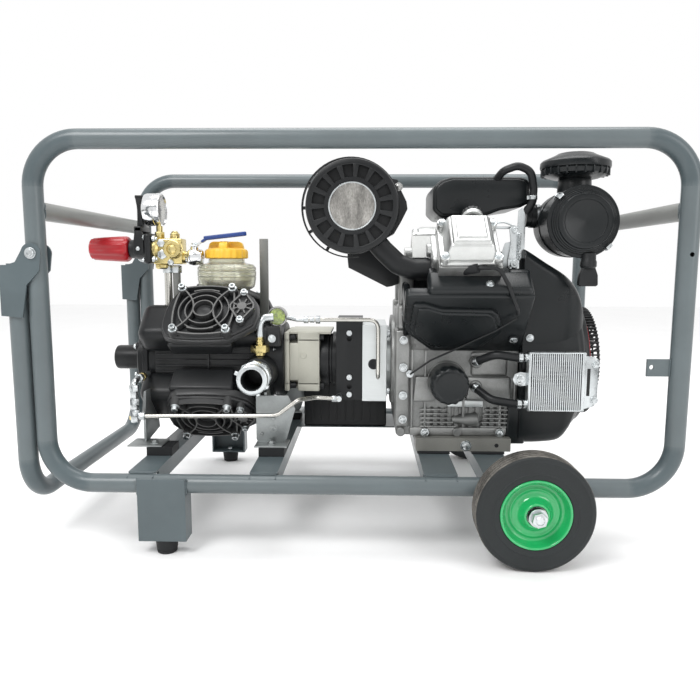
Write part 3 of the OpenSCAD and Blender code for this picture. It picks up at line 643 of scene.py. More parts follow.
def pump_body():
    """The ribbed pump casting, its end cover and the shaft guard."""
    s = Span("pump_crankcase")
    case = Shape(CASTING, ZINC, RIB_TOP_HIGHLIGHT)
    axis = (0, DRIVE_Z)
    case.lathe("x", axis, [(s.x0, 17.2), (s.x0, 76), (s.x0 + 2, 80), (s.x0 + 12, 81.5), (s.x0 + 15, 77),
                           (-184, 77), (-180, 80), (-162, 80), (-159, 78.6), (-157, 78.6), (-138, 78.6),
                           (s.x1, 76), (s.x1, 17.2)], seg=72, ring=True)
    for turn in (0, math.pi / 2, math.pi, -math.pi / 2):
        with case.at(about(turn, "X", (0, 0, DRIVE_Z))):
            for i in range(6):
                v = -30 + 12 * i
                case.block((-398, -186), (-86 + abs(v) * 0.08, -60), (v - 1.6, v + 1.6), soft=0.8)
            case.block((-292, -287), (-86.5, -60), (-40, 40), soft=0.8)
            case.block((-402, -182), (-80.5, -50), (-46, 46), soft=4)
    for turn in HEAD_TURNS:
        with case.at(pump_quarter(turn)):
            case.slot = 0
            case.lathe("z", (0, 0), [(50, 43), (60, 45), (100, 47), (110, 56), (117, 61), (119, 63),
                                     (HEAD_BASE - 0.2, 63), (HEAD_BASE - 0.2, 22),
                                     (60, 22)], seg=64, ring=True)
            case.lathe("x", (0, 84), [(-138, 20), (-140, 26), (-138, 33), (-131, 35), (-127, 34), (-122, 32),
                                      (-60, 34), (0, 36), (60, 34), (100, 33), (104, 35), (122, 35),
                                      (127, 31),
                                      (128, 20)], seg=48)
            case.block((-138, -56), (-44, 46), (66, 132), soft=20, steps=6)
            for y in ((-67, -38), (38, 67)):
                case.frustum((-66, 56), y, (96 if y[0] < 0 else 78, HEAD_BASE), (-4, 0), soft=6, steps=4)
            for place in HEAD_BOLTS:
                case.rod("z", place, 110, HEAD_BASE - 0.2, 9.6)
            case.slot = 1
            case.hexagon("x", (0, 84), -146, -139, 9)
    case.slot = 1
    for a in circle(8, 0.4):
        y, z = 74 * math.cos(a), DRIVE_Z + 74 * math.sin(a)
        case.hex_bolt((-157, y, z), (1, 0, 0), r=5, h=4)
    case.make("pump_casting", "pump_crankcase", bevel=0.5)

    end = Span("pump_end_cover")
    cover = Shape(CASTING, ZINC, PLASTIC)
    cover.lathe("x", axis, [(end.x1, 17.4), (end.x1, 68), (-432, 70), (-441, 70), (-444, 67), (-446, 44),
                            (-449, 34), (-450, 17.4)], seg=64, ring=True)
    for a in circle(6):
        with cover.at(about(a, "X", (0, 0, DRIVE_Z))):
            cover.block((-451, -440), (-2.5, 2.5), (24, 62), soft=1.2)
    for a in circle(6, math.pi / 6):
        y, z = 60 * math.cos(a), DRIVE_Z + 60 * math.sin(a)
        cover.slot = 0
        cover.rod("x", (y, z), -448, -436, 8.5, seg=24)
        cover.slot = 1
        cover.hex_bolt((-448, y, z), (-1, 0, 0), r=5.6, h=4.4)
    cover.slot = 2
    cover.lathe("x", axis, [(-448, 20), (-448, 27.5), (-452, 27.5), (-453, 26), (-503, 26), (-507, 25),
                            (end.x0, 22), (end.x0, 19), (-506, 18.2), (-494, 17.8)], seg=56, ring=True)
    cover.make("pump_shaft_guard", "pump_end_cover", bevel=0.3)


def pump_covers():
    """The four webbed heads with their valve covers and screws."""
    heads = Shape(CASTING, RIB_TOP_HIGHLIGHT)
    screws = Shape(ZINC)
    low, deck, top = HEAD_BASE, HEAD_BASE + 22, HEAD_BASE + 32
    for turn in HEAD_TURNS:
        with heads.at(pump_quarter(turn)), screws.at(pump_quarter(turn)):
            heads.slot = 0
            outline = [(-52, -66), (-26, -68), (0, -69), (26, -68), (54, -65), (84, -46), (104, -30),
                       (110, -4), (106, 26), (92, 48), (66, 64), (26, 68), (0, 69), (-26, 68),
                       (-52, 66), (-66, 56), (-76, 36), (-82, 10), (-84, -16), (-82, -40), (-72, -58)]
            heads.prism("z", outline, low, low + 15, soft=2.5)
            heads.prism("z", [(x * 0.965, y * 0.965) for x, y in outline], low + 15, deck, soft=4, steps=3)
            for place in HEAD_BOLTS:
                heads.rod("z", place, low, top + 1.6, 10, seg=28, edge=1)
            for r, z in ((20, top + 4), (36.5, top + 1), (50, top - 1)):
                heads.hoop("z", (0, 0), deck - 2, z, r - 1.5, r + 1.5, seg=64, edge=0.5)
            heads.lathe("z", (0, 0), [(deck - 2, 18.6), (deck + 2, 18.6), (deck + 5, 12), (deck + 6, 0)],
                        seg=40)
            for s in (-1, 1):
                rib(heads, bow([(s * 46, -50, 0), (s * 20, 0, 0), (s * 46, 50, 0)]), 1.5, deck - 2, top + 3)
                rib(heads, bow([(s * 55, -46, 0), (s * 60, 0, 0), (s * 55, 46, 0)]), 1.6, deck - 2, top)
                rib(heads, bow([(-45, s * 58, 0), (0, s * 63, 0), (45, s * 58, 0)]), 1.6, deck - 2, top)
                rib(heads, bow([(-26, s * 47, 0), (0, s * 51.5, 0),
                                (26, s * 47, 0)]), 1.3, deck - 2, top + 1)
            valve = [(0, 43), (24, 6), (25, 0), (24, -6), (0, -43), (-24, -6), (-25, 0), (-24, 6)]
            cx, cy = 76, 8
            ring = [(cx + x, cy + y) for x, y in valve]
            heads.prism("z", ring, low + 4, deck + 6, soft=2)
            for i, (x, y) in enumerate(valve):
                x2, y2 = valve[(i + 1) % len(valve)]
                wall = [Vector((cx + u * 0.93, cy + v * 0.93, 0)) for u, v in ((x, y), (x2, y2))]
                rib(heads, wall, 1.5, deck + 4, deck + 12)
            for t in circle(8, math.pi / 8):
                spoke = [Vector((cx + r * math.cos(t), cy + r * math.sin(t), 0)) for r in (9, 20)]
                rib(heads, spoke, 1.3, deck + 4, deck + 11)
            heads.rod("z", (cx, cy), deck + 4, deck + 12, 10, seg=32)
            for y in (-36, 36):
                heads.rod("z", (cx, cy + y), deck - 4, deck + 10, 8, seg=24)
                screws.cap_bolt((cx, cy + y, deck + 10), (0, 0, 1), r=6, h=5)
            for place in HEAD_BOLTS:
                screws.cap_bolt((*place, top + 1.8), (0, 0, 1), r=6.5, h=8.4)
    # Faces at the top of each head that look out along it take the lighter casting: a painted highlight on
    # the ribs, bosses and valve covers.
    for face in heads.bm.faces:
        face.normal_update()
        middle = face.calc_center_median() - Vector((0, 0, DRIVE_Z))
        out = max(Vector((0, -math.sin(t), math.cos(t))).dot(Vector((0, middle.y, middle.z)))
                  for t in HEAD_TURNS)
        axis = max((Vector((0, -math.sin(t), math.cos(t))) for t in HEAD_TURNS), key=face.normal.dot)
        if out > top - 2.5 and face.normal.dot(axis) > 0.95:
            face.material_index = 1
    heads.make("pump_head_castings", "pump_heads", bevel=0.45)
    screws.make("pump_head_screws", "pump_head_bolts", bevel=0)


def pump_mounts():
    """The folded bracket plates under the pump and the tall strip behind it."""
    s = Span("pump_brackets")
    foot = s.z0
    # The plates take the darker zinc: painted shade.
    plates = Shape(SHADED_BRACKET_ZINC, TUBE, ZINC)
    for sign in (-1, 1):
        def yy(a, b):
            return mirrored(sign, a, b)
        plates.slot = 0
        side = [(62, foot + 12), (150, foot), (150, foot + 70), (143, 268), (104, 268), (80, 250)]
        left = [(sign * y, z) for y, z in side]
        plates.prism("x", left, -406, -401, soft=1)
        plates.prism("x", [(sign * min(y, 143), z) for y, z in side], -166, -161, soft=1)
        plates.block((-430, -362), yy(125, 180), (foot, foot + 3), soft=1.2)
        plates.block((-182, -118), yy(125, 178), (foot, foot + 3), soft=1.2)
        front = [(-182, 262), (-182, foot + 10), (-179, foot + 3), (-174, foot), (-134, foot),
                 (-127, foot + 3),
                 (-122, foot + 10), (-104, 236), (-118, 262)]
        plates.prism("y", front, *yy(143, 147), soft=1)
        for x in (-380, -150):
            plates.hex_bolt((x, sign * 162, foot + 3), (0, 0, 1), r=7, h=5)
        plates.hex_bolt((-148, sign * 147, foot + 32), (0, sign, 0), r=6, h=4)
        plates.cap_bolt((-172, sign * 147, foot + 20), (0, sign, 0), r=3.6, h=2, washer=False)
        plates.rod("y", (-148, foot + 52), *yy(147, 153), 4)
        for z in (foot + 36, foot + 60):
            plates.hex_bolt((-406, sign * 116, z), (-1, 0, 0), r=6, h=4)
    plates.slot = 1
    plates.block((-201, -182), (40, 45), (392, 574), soft=0.8)
    plates.make("pump_bracket_plates", "pump_brackets", bevel=0)


def reservoir():
    """The clear oil tank, the oil in it and its ribbed lid."""
    s, cap = Span("oil_reservoir"), Span("reservoir_cap")
    centre = (s.x, s.y)
    R = (s.x1 - s.x0) / 2
    tank = Shape(POLY)
    outer = [(s.z0, 17), (462, 18), (464, 38), (466, 52), (470, 58), (476, R - 2), (484, R - 1),
             (491, R), (492.5, R - 1.6), (494, R), (503, R), (504.5, R - 1.6), (506, R), (512, R - 0.6),
             (515, R - 3), (518, 56), (520, 46), (522, 39), (s.z1 - 0.5, 37.6)]
    inner = [(z + (0.5 if z > 525 else -2.6 if z > 500 else 2.6), r - 2.8) for z, r in reversed(outer)]
    tank.lathe("z", centre, outer + inner, seg=64, ring=True)
    for a in circle(12):
        with tank.at(about(a, "Z", (*centre, 0))):
            tank.block((40, 52), (-1, 1), (470, 516), soft=0.5)
    tank.make("reservoir_tank", "oil_reservoir", bevel=0)
    fill = Shape(OIL)
    fill.lathe("z", centre, [(463, 14), (470, 38), (478, 46), (482, 52), (484, 53), (485, 50)], seg=48)
    fill.make("reservoir_oil", body="frame", bevel=0)

    lid = Shape(YELLOW)
    lid.lathe("z", (cap.x, cap.y), [(cap.z0, 40), (cap.z0, 43), (cap.z0 + 1.5, 45, 0.9), (545, 45, 0.9),
                                    (549, 43, 0.5), (550.5, 40), (551, 38), (cap.z0 + 18, 36), (540, 39)],
              seg=120, ring=True, waves=20)
    lid.lathe("z", (cap.x, cap.y), [(549, 39), (551, 38.5), (552.5, 37)], seg=64)
    for turn in (0, math.pi / 2):
        with lid.at(about(turn, "Z", (cap.x, cap.y, 0))):
            lid.prism("y", [(-38, 550), (38, 550), (35, 561), (31, 565), (26, 566.2), (-26, 566.2),
                            (-31, 565),
                            (-35, 561)], -9, 9, soft=1.6)
    lid.make("reservoir_lid", "reservoir_cap", bevel=0.4)


def suction():
    """The inlet port with its slotted union nut."""
    s = Span("suction_coupling")
    c = (s.x, s.z)
    face = s.y0
    elbow = Shape(ZINC, CASTING, BLACK)
    elbow.lathe("y", c, [(face, 21.2), (face, 26), (face + 2.2, 29.6), (face + 13, 30), (face + 15, 28.4),
                         (face + 17, 27), (face + 26, 27), (face + 28, 30.5), (face + 40, 31),
                         (face + 43, 28),
                         (face + 70, 28), (face + 70, 20.7), (face + 5, 20.7), (face + 2, 20.7)], seg=56,
                ring=True)
    elbow.lathe("y", c, [(face + 30, 27), (face + 30, 32), (face + 31.5, 33.5), (face + 36.5, 33.5),
                         (face + 38, 32), (face + 38, 27)], seg=8, ring=True)
    for turn, reach in ((2.75, 36), (-0.45, 35), (-1.2, 34)):
        with elbow.at(about(-turn, "Y", (c[0], 0, c[1]))):
            elbow.block((24, reach), (face + 4, face + 13), (-4, 4), soft=1.6)
    elbow.slot = 1
    elbow.lathe("y", c, [(face + 68, 26), (face + 70, 32), (face + 84, 33), (-70, 36), (-70, 20)], seg=48)
    # A black liner down the bore and a black disc at its back: painted shade inside the opening.
    elbow.slot = 2
    elbow.lathe("y", c, [(face + 6, 19.6), (face + 6, 20.6), (-84, 20.6), (-84, 19.6)], seg=48, ring=True)
    elbow.rod("y", c, -83.4, -80, 20)
    elbow.make("suction_port", "suction_coupling", bevel=0.4)


def pipework():
    """Delivery pipes, thin steel lines, their unions and the sight glass."""
    lines = Shape(PIPE, ZINC, BRASS, TUBE)
    for x in (-368, -386):
        lines.slot = 0 if x == -386 else 3
        lines.tube([(x, -20, 396), (x, -20, 516)], 8, seg=28)
        lines.slot = 1
        lines.hexagon("z", (x, -20), 500, 515, 11.5)
        lines.hoop("z", (x, -20), 396, 410, 7, 10.5, seg=32)
    lines.slot = 0
    lines.tube([(-88, -95, 408), (59, -95, 408), (59, -95, 290), (59, -72, 288)], 4.2, bend=20)
    lines.tube([(-401, -178, 226), (-136, -181, 230), (-98, -160, 256), (-66, -118, 253), (-22, -108, 249)],
               4.2, bend=24)
    lines.slot = 1
    for x, r in ((-86, 7.4), (-74, 6.2), (-62, 8.2)):
        lines.hexagon("x", (-95, 408), x - 5, x + 4, r, turn=0.4)
    lines.tube([(-125, -84, 411), (-104, -95, 408), (-84, -95, 408)], 4.4, bend=10)
    lines.hexagon("x", (-108, 249), -34, -24, 7)
    lines.hexagon("x", (-178, 226.5), -404, -392, 8)
    lines.tube([(-20, -112, 249), (-20, -70, 249)], 6)
    for z0, z1, r in ((214, 226, 8), (227, 239, 10.5), (240, 247, 8.5), (249, 261, 10), (263, 274, 8),
                      (275, 287, 9.6)):
        lines.hexagon("z", (-412, -178), z0, z1, r, turn=z0)
    lines.tube([(-412, -178, 214), (-412, -178, 292), (-412, -150, 296), (-412, -84, 294)], 5.6, bend=12)
    lines.hexagon("y", (-412, 295), -150, -138, 9)
    lines.slot = 2
    lines.hexagon("y", (-412, 295), -134, -122, 8.6)
    lines.tube([(-422, -178, 222), (-400, -160, 222)], 4.4)
    # Brass union with a hose tail in front of the crankcase
    x, y = -181, -92
    lines.hexagon("z", (x, y), 341, 356, 19.5, turn=0.26)
    lines.rod("z", (x, y), 334, 342, 10)
    lines.lathe("z", (x, y), [(354, 9), (357, 8), (362, 8.6), (362.5, 7.4), (368, 8.4), (368.5, 7.4),
                              (374, 8.4), (378, 7)], seg=28)
    lines.slot = 1
    lines.tube([(x, y, 372), (x, y, 398), (x + 8, y + 6, 410), (x + 26, y + 10, 411)], 8.4, bend=14)
    lines.make("pump_pipes", "pump_pipework", bevel=0.25)

    block = Shape(CASTING, ZINC)
    block.block((-172, -140), (-92, -62), (352, 394), soft=3)
    block.block((-166, -146), (-96, -70), (360, 378), soft=2)
    block.slot = 1
    block.hex_bolt((-156, -96, 369), (0, -1, 0), r=6, h=3)
    block.make("gauge_block", body="frame", bevel=0.4)

    glass = Shape(STEEL, LIME, LENS)
    centre = (-148, 412)
    glass.lathe("y", centre, [(-58, 16), (-58, 19), (-60, 20.6), (-74, 20.6), (-77, 19.6), (-77.4, 18),
                              (-76.4, 17), (-73, 16.6)], seg=56, ring=True)
    glass.slot = 1
    glass.lathe("y", centre, [(-60, 16.7), (-73, 16.7), (-74.2, 12, 0.5), (-74.4, 6, 0.4),
                              (-73.8, 0)], seg=48,
                waves=7)
    glass.slot = 2
    glass.lathe("y", centre, [(-74.8, 17), (-75.8, 17), (-77.8, 9), (-78.2, 0)], seg=48)
    glass.make("sight_glass", body="frame", bevel=0)


def regulator():
    """The brass body, its yoke, the red grip and the bypass fork."""
    s, sleeve, knob = Span("regulator_body"), Span("regulator_sleeve"), Span("regulator_knob")
    y, z = sleeve.y, sleeve.z
    body = Shape(BRASS, ZINC)
    body.block((s.x0 + 0.4, s.x1 - 4), (y - 19, y + 19), (518, 571), soft=3, steps=3)
    body.lathe("x", (y, z), [(s.x0, 26), (-404, 27), (-402, 25), (-398, 22)], seg=40)
    body.rod("x", (y, 533), -352, s.x1, 13)
    body.hexagon("z", (-400, y), 572, 585, 10.4)
    body.rod("z", (-400, y), 584, 597.6, 6.6)
    body.rod("z", (-396, y + 2), 508, 520, 15, edge=3)
    body.lathe("y", (-366, 549), [(y - 16, 20), (y - 20, 20), (y - 22, 17.4), (y - 23, 18.6, 0.5),
                                  (y - 31, 18.6, 0.5), (y - 33, 17), (y - 33, 11), (y - 29, 10),
                                  (y - 29, 0)],
               seg=72, waves=24)
    body.hexagon("y", (-366, 549), y - 30.5, y - 28, 9)
    body.rod("z", (-368, y), 570, 577, 10)
    body.hexagon("z", (-368, y), 576, 582, 10.4)
    body.lathe("z", (-368, y), [(580, 8), (585, 7), (587, 4)], seg=24)
    body.slot = 1
    for dy, dz in CORNERS:
        at = (y + dy * 21, z + dz * 21)
        body.hexagon("x", at, -409.6, -403, 6.8)
        body.rod("x", at, -409.6, -399, 3.6, seg=20)
    body.hexagon("y", (-391, 561), y - 24, y - 18, 8.6)
    body.hexagon("y", (-389, 538), y - 25, y - 18, 10.5, turn=0.5)
    body.hexagon("y", (-372, 522), y - 24, y - 18, 7)
    body.make("regulator_brass", "regulator_body", bevel=0.5)

    yoke = Shape(PLASTIC, ZINC)
    yoke.block((-425, -410.4), (y - 31, y + 31), (z - 31, z + 32), soft=6, steps=3)
    yoke.lathe("x", (y, z), [(sleeve.x0, 10), (sleeve.x0, 17.5), (-460, 19.2), (-448, 20), (-444, 22),
                             (-430, 23), (-424, 26), (-424, 10)], seg=48, ring=True)
    yoke.slot = 1
    for dy, dz in CORNERS:
        yoke.hex_bolt((-425, y + dy * 23, z + dz * 23), (-1, 0, 0), r=5, h=3.4)
    yoke.make("regulator_yoke", "regulator_sleeve", bevel=0.5)

    grip = Shape(RED, PLASTIC)
    k0, k1 = knob.x0, -463
    grip.lathe("x", (y, z), [(k0 + 0.2, 13), (k0, 15), (k0 + 1.5, 19, 0.4), (k0 + 5, 21.6, 1.5),
                             (k0 + 24, 23.0, 1.5), (k0 + 62, 25.2, 1.5), (k0 + 74, 25.6, 1.3),
                             (k0 + 79, 24.8, 0.7), (k0 + 82, 22.5, 0.2), (k1, 19)], seg=120, waves=9)
    grip.slot = 1
    grip.rod("x", (y, z), k1, knob.x1, 9)
    grip.rod("x", (y, z), k0 - 0.6, k0 + 2, 8)
    grip.make("knob_grip", "regulator_knob", bevel=0)

    lever = Span("bypass_lever")
    arm = Shape(PLASTIC, ZINC)
    x = lever.x
    half = (lever.y1 - lever.y0) / 2
    for sign in (-1, 1):
        face = sorted((y + sign * (half - 5), y + sign * half))
        arm.prism("y", [(x - 11, z - 8), (x - 6, z - 13), (x + 6, z - 13), (x + 11, z - 8), (x + 11, z + 14),
                        (x + 7, z + 44), (x - 6, z + 44), (x - 10, z + 14)], *face, soft=1.2)
        arm.slot = 1
        arm.hex_bolt((x, y + sign * half, z), (0, sign, 0), r=4.4, h=2, washer=False)
        arm.slot = 0
    arm.rod("y", (x, z), y - half, y + half, 4)
    arm.block((x - 8, x + 8), (y - half, y + half), (z + 35, z + 46), soft=2)
    arm.prism("y", [(x - 7, z + 40), (x + 7, z + 40), (x + 4.4, z + 72), (x + 4.6, z + 88),
                    (x + 7.6, z + 109),
                    (x - 9.5, z + 109), (x - 6, z + 88), (x - 5, z + 72)], y - 12, y + 12, soft=1.8)
    arm.block((x - 9, x + 7), (y - 13, y + 13), (z + 104, z + 109.8), soft=1.2)
    arm.make("bypass_fork", "bypass_lever", bevel=0.4)


def gauge():
    """The gauge shell with its scale, lens and hand."""
    s, needle = Span("gauge_case"), Span("gauge_needle")
    c = (s.y, s.z)
    R = (s.y1 - s.y0) / 2
    case = Shape(CHROME, DIAL, BLACK, REDMETAL)
    case.lathe("x", c, [(s.x0, 4), (s.x0, R - 5), (s.x0 + 2, R - 2), (s.x0 + 6, R - 0.6),
                        (s.x0 + 22, R - 0.6),
                        (s.x0 + 23, R - 1.6), (s.x0 + 25, R - 1.6), (s.x0 + 26, R), (s.x1 - 1.5, R),
                        (s.x1, R - 1.2), (s.x1, R - 3), (s.x1 - 2.5, R - 3.4), (s.x1 - 8, R - 3.4),
                        (s.x1 - 8, 4)], seg=72, ring=True)
    case.rod("x", c, s.x0, s.x0 + 3, 6)
    case.slot = 1
    case.lathe("x", c, [(s.x1 - 8.1, 0), (s.x1 - 8.1, R - 3.5), (s.x1 - 7.7, R - 3.5),
                        (s.x1 - 7.7, 0)], seg=64)
    for k in range(28):
        t = math.radians(-135 + 10 * k)
        case.slot = 3 if k > 21 else 2
        with case.at(about(t, "X", (0, *c))):
            case.block((s.x1 - 7.7, s.x1 - 7.4), (-0.4, 0.4), (R - (9 if k % 5 == 0 else 7), R - 4.5))
    case.make("gauge_shell", "gauge_case", bevel=0.2)
    glass = Shape(LENS)
    glass.lathe("x", c, [(s.x1 - 3.2, R - 3.2), (s.x1 - 2.2, R - 3.2), (s.x1 - 1.2, R * 0.6),
                         (s.x1 - 0.8, 0)],
                seg=64)
    glass.make("gauge_lens", body="frame", bevel=0)
    hand = Shape(BLACK)
    x0 = needle.x1 - 1.6
    hand.prism("x", [(s.y - 1.6, s.z + 8), (s.y + 1.6, s.z + 8), (s.y + 1.3, s.z - 14), (s.y, s.z - 26),
                     (s.y - 1.3, s.z - 14)], x0 - 0.6, x0 + 0.4)
    hand.lathe("x", c, [(needle.x0, 3.5), (x0 + 0.6, 3.5), (needle.x1, 2.2)], seg=28)
    hand.make("gauge_hand", "gauge_needle", bevel=0)


def ball_valve():
    """The outlet valve and its sleeved handle."""
    s = Span("ball_valve_body")
    c = (s.y, 533)
    body = Shape(CHROME, ZINC)
    body.lathe("x", c, [(-345, 6.2), (-345, 12), (-341, 13), (-339, 15.4), (-336, 17), (-327.5, 17.8),
                        (-320, 16), (-318.5, 15), (s.x1, 14), (s.x1, 6.2)], seg=48, ring=True)
    nut = [(c[0] + 16.6 * math.cos(t), c[1] + 16.6 * math.sin(t)) for t in circle(6, 0.5)]
    body.prism("x", nut, -320, -311, soft=1)
    body.lathe("z", (-327.5, c[0]), [(545, 4.2), (545, 9), (551, 8.6), (s.z1, 7.6), (s.z1, 4.2)], seg=32,
               ring=True)
    body.make("ball_valve_shell", "ball_valve_body", bevel=0.4)

    arm = Shape(ZINC, BLUE)
    x, y, z = -327.5, s.y, 533
    arm.rod("z", (x, y), z, z + 22.6, 4)
    arm.block((x - 10, x + 9), (y - 8, y + 8), (z + 22.6, z + 25.4), soft=1.2)
    arm.hexagon("z", (x, y), z + 25.4, z + 30, 6)
    with arm.at(about(math.radians(-35), "Y", (x + 5, y, z + 25))):
        arm.block((0, 23), (-6, 6), (-2, 1), soft=0.8)
    arm.slot = 1
    with arm.at(about(math.radians(-6.5), "Y", (x + 21, y, z + 39))):
        grip = [(0, -6.2), (4, -7), (84, -7), (89, -4.4), (90.5, 0), (89, 4.4), (84, 7), (4, 7), (0, 6.2)]
        arm.prism("z", grip, -4.4, 4.4, soft=2.4, steps=3)
    with arm.at(about(math.radians(-35), "Y", (x + 8, y, z + 27))):
        arm.block((9, 21), (-6.8, 6.8), (-3.4, 1.6), soft=1.4)
    arm.make("valve_handle", "ball_valve_lever", bevel=0)


for build in (pump_body, pump_covers, pump_mounts, reservoir, suction, pipework, regulator, gauge,
              ball_valve):
    build()


# ---------------------------------------------------------------- drive and engine

LEAN = math.radians(42)
BANK_X = {1: 222, -1: 196}
COVER_Y, COVER_Z = 78, 295
CHEEK_STEPS = 6
THROTTLE_PIVOT = (318, 520)


def bank(s):
    """The axes of a cylinder: s is 1 for the front one and -1 for the rear one."""
    return about(s * LEAN, "X", (0, 0, DRIVE_Z))


def gearbox():
    """The reduction gearbox, the adapter and their screws."""
    s = Span("gearbox_housing")
    axis = (0, DRIVE_Z)
    top, bottom = s.z1, s.z0
    side = s.y1
    x0, x1, x2 = s.x0, -125, -62
    house = Shape(GEARBOX, BLACK, CASTING)
    for a, b in ((x0, x1), (-108, x2)):
        house.block((a, b), (-side, side), (DRIVE_Z + 42, top), soft=3)
        house.block((a, b), (-side, side), (bottom, DRIVE_Z - 42), soft=3)
        for sign in (-1, 1):
            house.block((a, b), mirrored(sign, 42, side), (DRIVE_Z - 50, DRIVE_Z + 50), soft=3)
    house.hoop("x", axis, x0, x1, 17.3, 52)
    house.hoop("x", axis, x1 - 1, x2, 46, 60)
    house.block((x1 - 1, x2), (-40, 40), (DRIVE_Z + 48, top - 1.5), soft=4)
    house.block((x1 - 1, x2), (-40, 40), (bottom + 1.5, DRIVE_Z - 48), soft=4)
    for sign in (-1, 1):
        house.block((x1 - 1, x2), mirrored(sign, 48, side - 0.6),
                    (DRIVE_Z - 40, DRIVE_Z + 40), soft=4)
    house.rod("y", (-96, DRIVE_Z + 14), -side - 1, -side + 4, 7)
    house.block((-126, -38), (-57, 57), (top - 4, top + 1.6), soft=1.4)
    house.slot = 1
    for dy, dz in CORNERS:
        for x, height in ((x1, 11), (x2, 7)):
            house.cap_bolt((x, dy * 51, DRIVE_Z + dz * 51), (1, 0, 0), r=6.5, h=height)
    house.slot = 2
    house.lathe("x", axis, [(x2, 46), (x2, 57), (-58, 58), (-44, 58), (-42, 54), (-38, 54), (-36, 58),
                            (-28, 58), (s.x1, 57), (s.x1, 46)], seg=64, ring=True)
    house.make("gearbox_case", "gearbox_housing", bevel=0.4)
    keep(BLACK, "drive_adapter", bevel=1.4)
    keep(BRIGHT, "adapter_plate", bevel=1.2)
    block, plate = Span("drive_adapter"), Span("adapter_plate")
    bolts = Shape(ZINC, BLACK)
    for dz in (-66, -30, 62):
        bolts.cap_bolt((0, block.y0, DRIVE_Z + dz), (0, -1, 0), r=6, h=3, washer=False)
    for dy, dz in CORNERS:
        bolts.hex_bolt((plate.x1 - 9, dy * 60, DRIVE_Z + dz * 60), (1, 0, 0), r=8, h=6)
    bolts.slot = 1
    bolts.lathe("y", (50, DRIVE_Z - 2), [(plate.y0 + 1, 11), (plate.y0 - 1, 11), (plate.y0 - 1.8, 9),
                                         (plate.y0 - 1.2, 5), (plate.y0, 0)], seg=32)
    bolts.make("adapter_screws", body="frame", bevel=0)


def crankcase():
    """The engine castings, and the bars and pads they stand on."""
    keep(ALLOY, "engine_crankcase", bevel=2.4)
    keep(ALLOY, "engine_cylinders", bevel=0.8)
    case = Shape(ALLOY, ZINC, BLACK, BRIGHT)
    for sign in (-1, 1):
        def y(a, b):
            return mirrored(sign, a, b)
        case.block((92, 122), y(58, 132), (196, 392), soft=6, steps=3)
        case.block((96, 126), y(60, 130), (392, 440), soft=6, steps=3)
        case.block((100, 128), y(64, 104), (436, 500), soft=5, steps=3)
        case.block((122, 332), y(112, 131), (180, 197), soft=3)
        for x in (126, 152, 228, 300, 328):
            case.block((x - 2.4, x + 2.4), y(118, 132), (196, 352 if x < 160 else 300), soft=1.6)
        for x in (104, 152, 216, 300):
            case.rod("y", (x, 188), *y(112, 137), 9, edge=1.4)
        for x, z in ((108, 214), (108, 262), (108, 318), (108, 372), (112, 424)):
            case.rod("y", (x, z), *y(118, 136), 9, edge=1.4)
        case.block((138, 330), y(110, 119), (190, 240), soft=2)
        for i in range(5):
            z = 197 + 8.6 * i
            case.block((142, 214 - 5 * i), y(112, 132), (z, z + 3.2), soft=1)
            case.block((262 + 2 * i, 326), y(112, 132), (z, z + 3.2), soft=1)
        case.lathe("x", (sign * 124, 212), [(206, 5), (210, 7.4), (252, 15), (256, 14), (257, 11)], seg=36)
        case.frustum((128, 172), y(116, 138), (250, 300), (4, 2), soft=4)
        case.block((176, 212), y(112, 140), (262, 306), soft=8, steps=3)
        case.block((232, 320), y(116, 136), (252, 300), soft=6, steps=3)
        case.block((240, 314), y(110, 128), (300, 350), soft=6, steps=3)
        case.rod("y", (250, 330), *y(110, 142), 12, edge=2)
        case.rod("y", (250, 282), *y(110, 142), 12, edge=2)
        case.slot = 3
        case.block((197, 267), y(116, 130), (238, 252), soft=2)
        case.slot = 1
        for x, z in ((108, 214), (108, 262), (108, 318), (108, 372), (112, 424)):
            case.hex_bolt((x, sign * 136, z), (0, sign, 0), r=6.4, h=4.4)
        for x in (152, 300):
            case.hex_bolt((x, sign * 137, 188), (0, sign, 0), r=6.4, h=4.4)
        case.slot = 0
    case.make("crankcase_castings", body="frame", bevel=0.6)

    base = Span("engine_base")
    keep(CAST_BAR, "engine_base", bevel=1.6)
    pads = Shape(RUBBER, ZINC, BLACK)
    for sign in (-1, 1):
        y = mirrored(sign, base.y1 + 0.4, base.y1 - 54)
        for x in ((137, 201), (244, 308)):
            pads.slot = 0
            pads.block(x, y, (base.z0 + 0.2, base.z0 + 5.6), soft=0.8)
        pads.slot = 1
        pads.hex_bolt((232, sign * base.y1, 165), (0, sign, 0), r=8, h=5)
        pads.slot = 2
        pads.rod("y", (292, 166), *mirrored(sign, base.y1 - 3, base.y1 + 0.3), 4.4)
    pads.make("base_pads", body="frame", bevel=0)


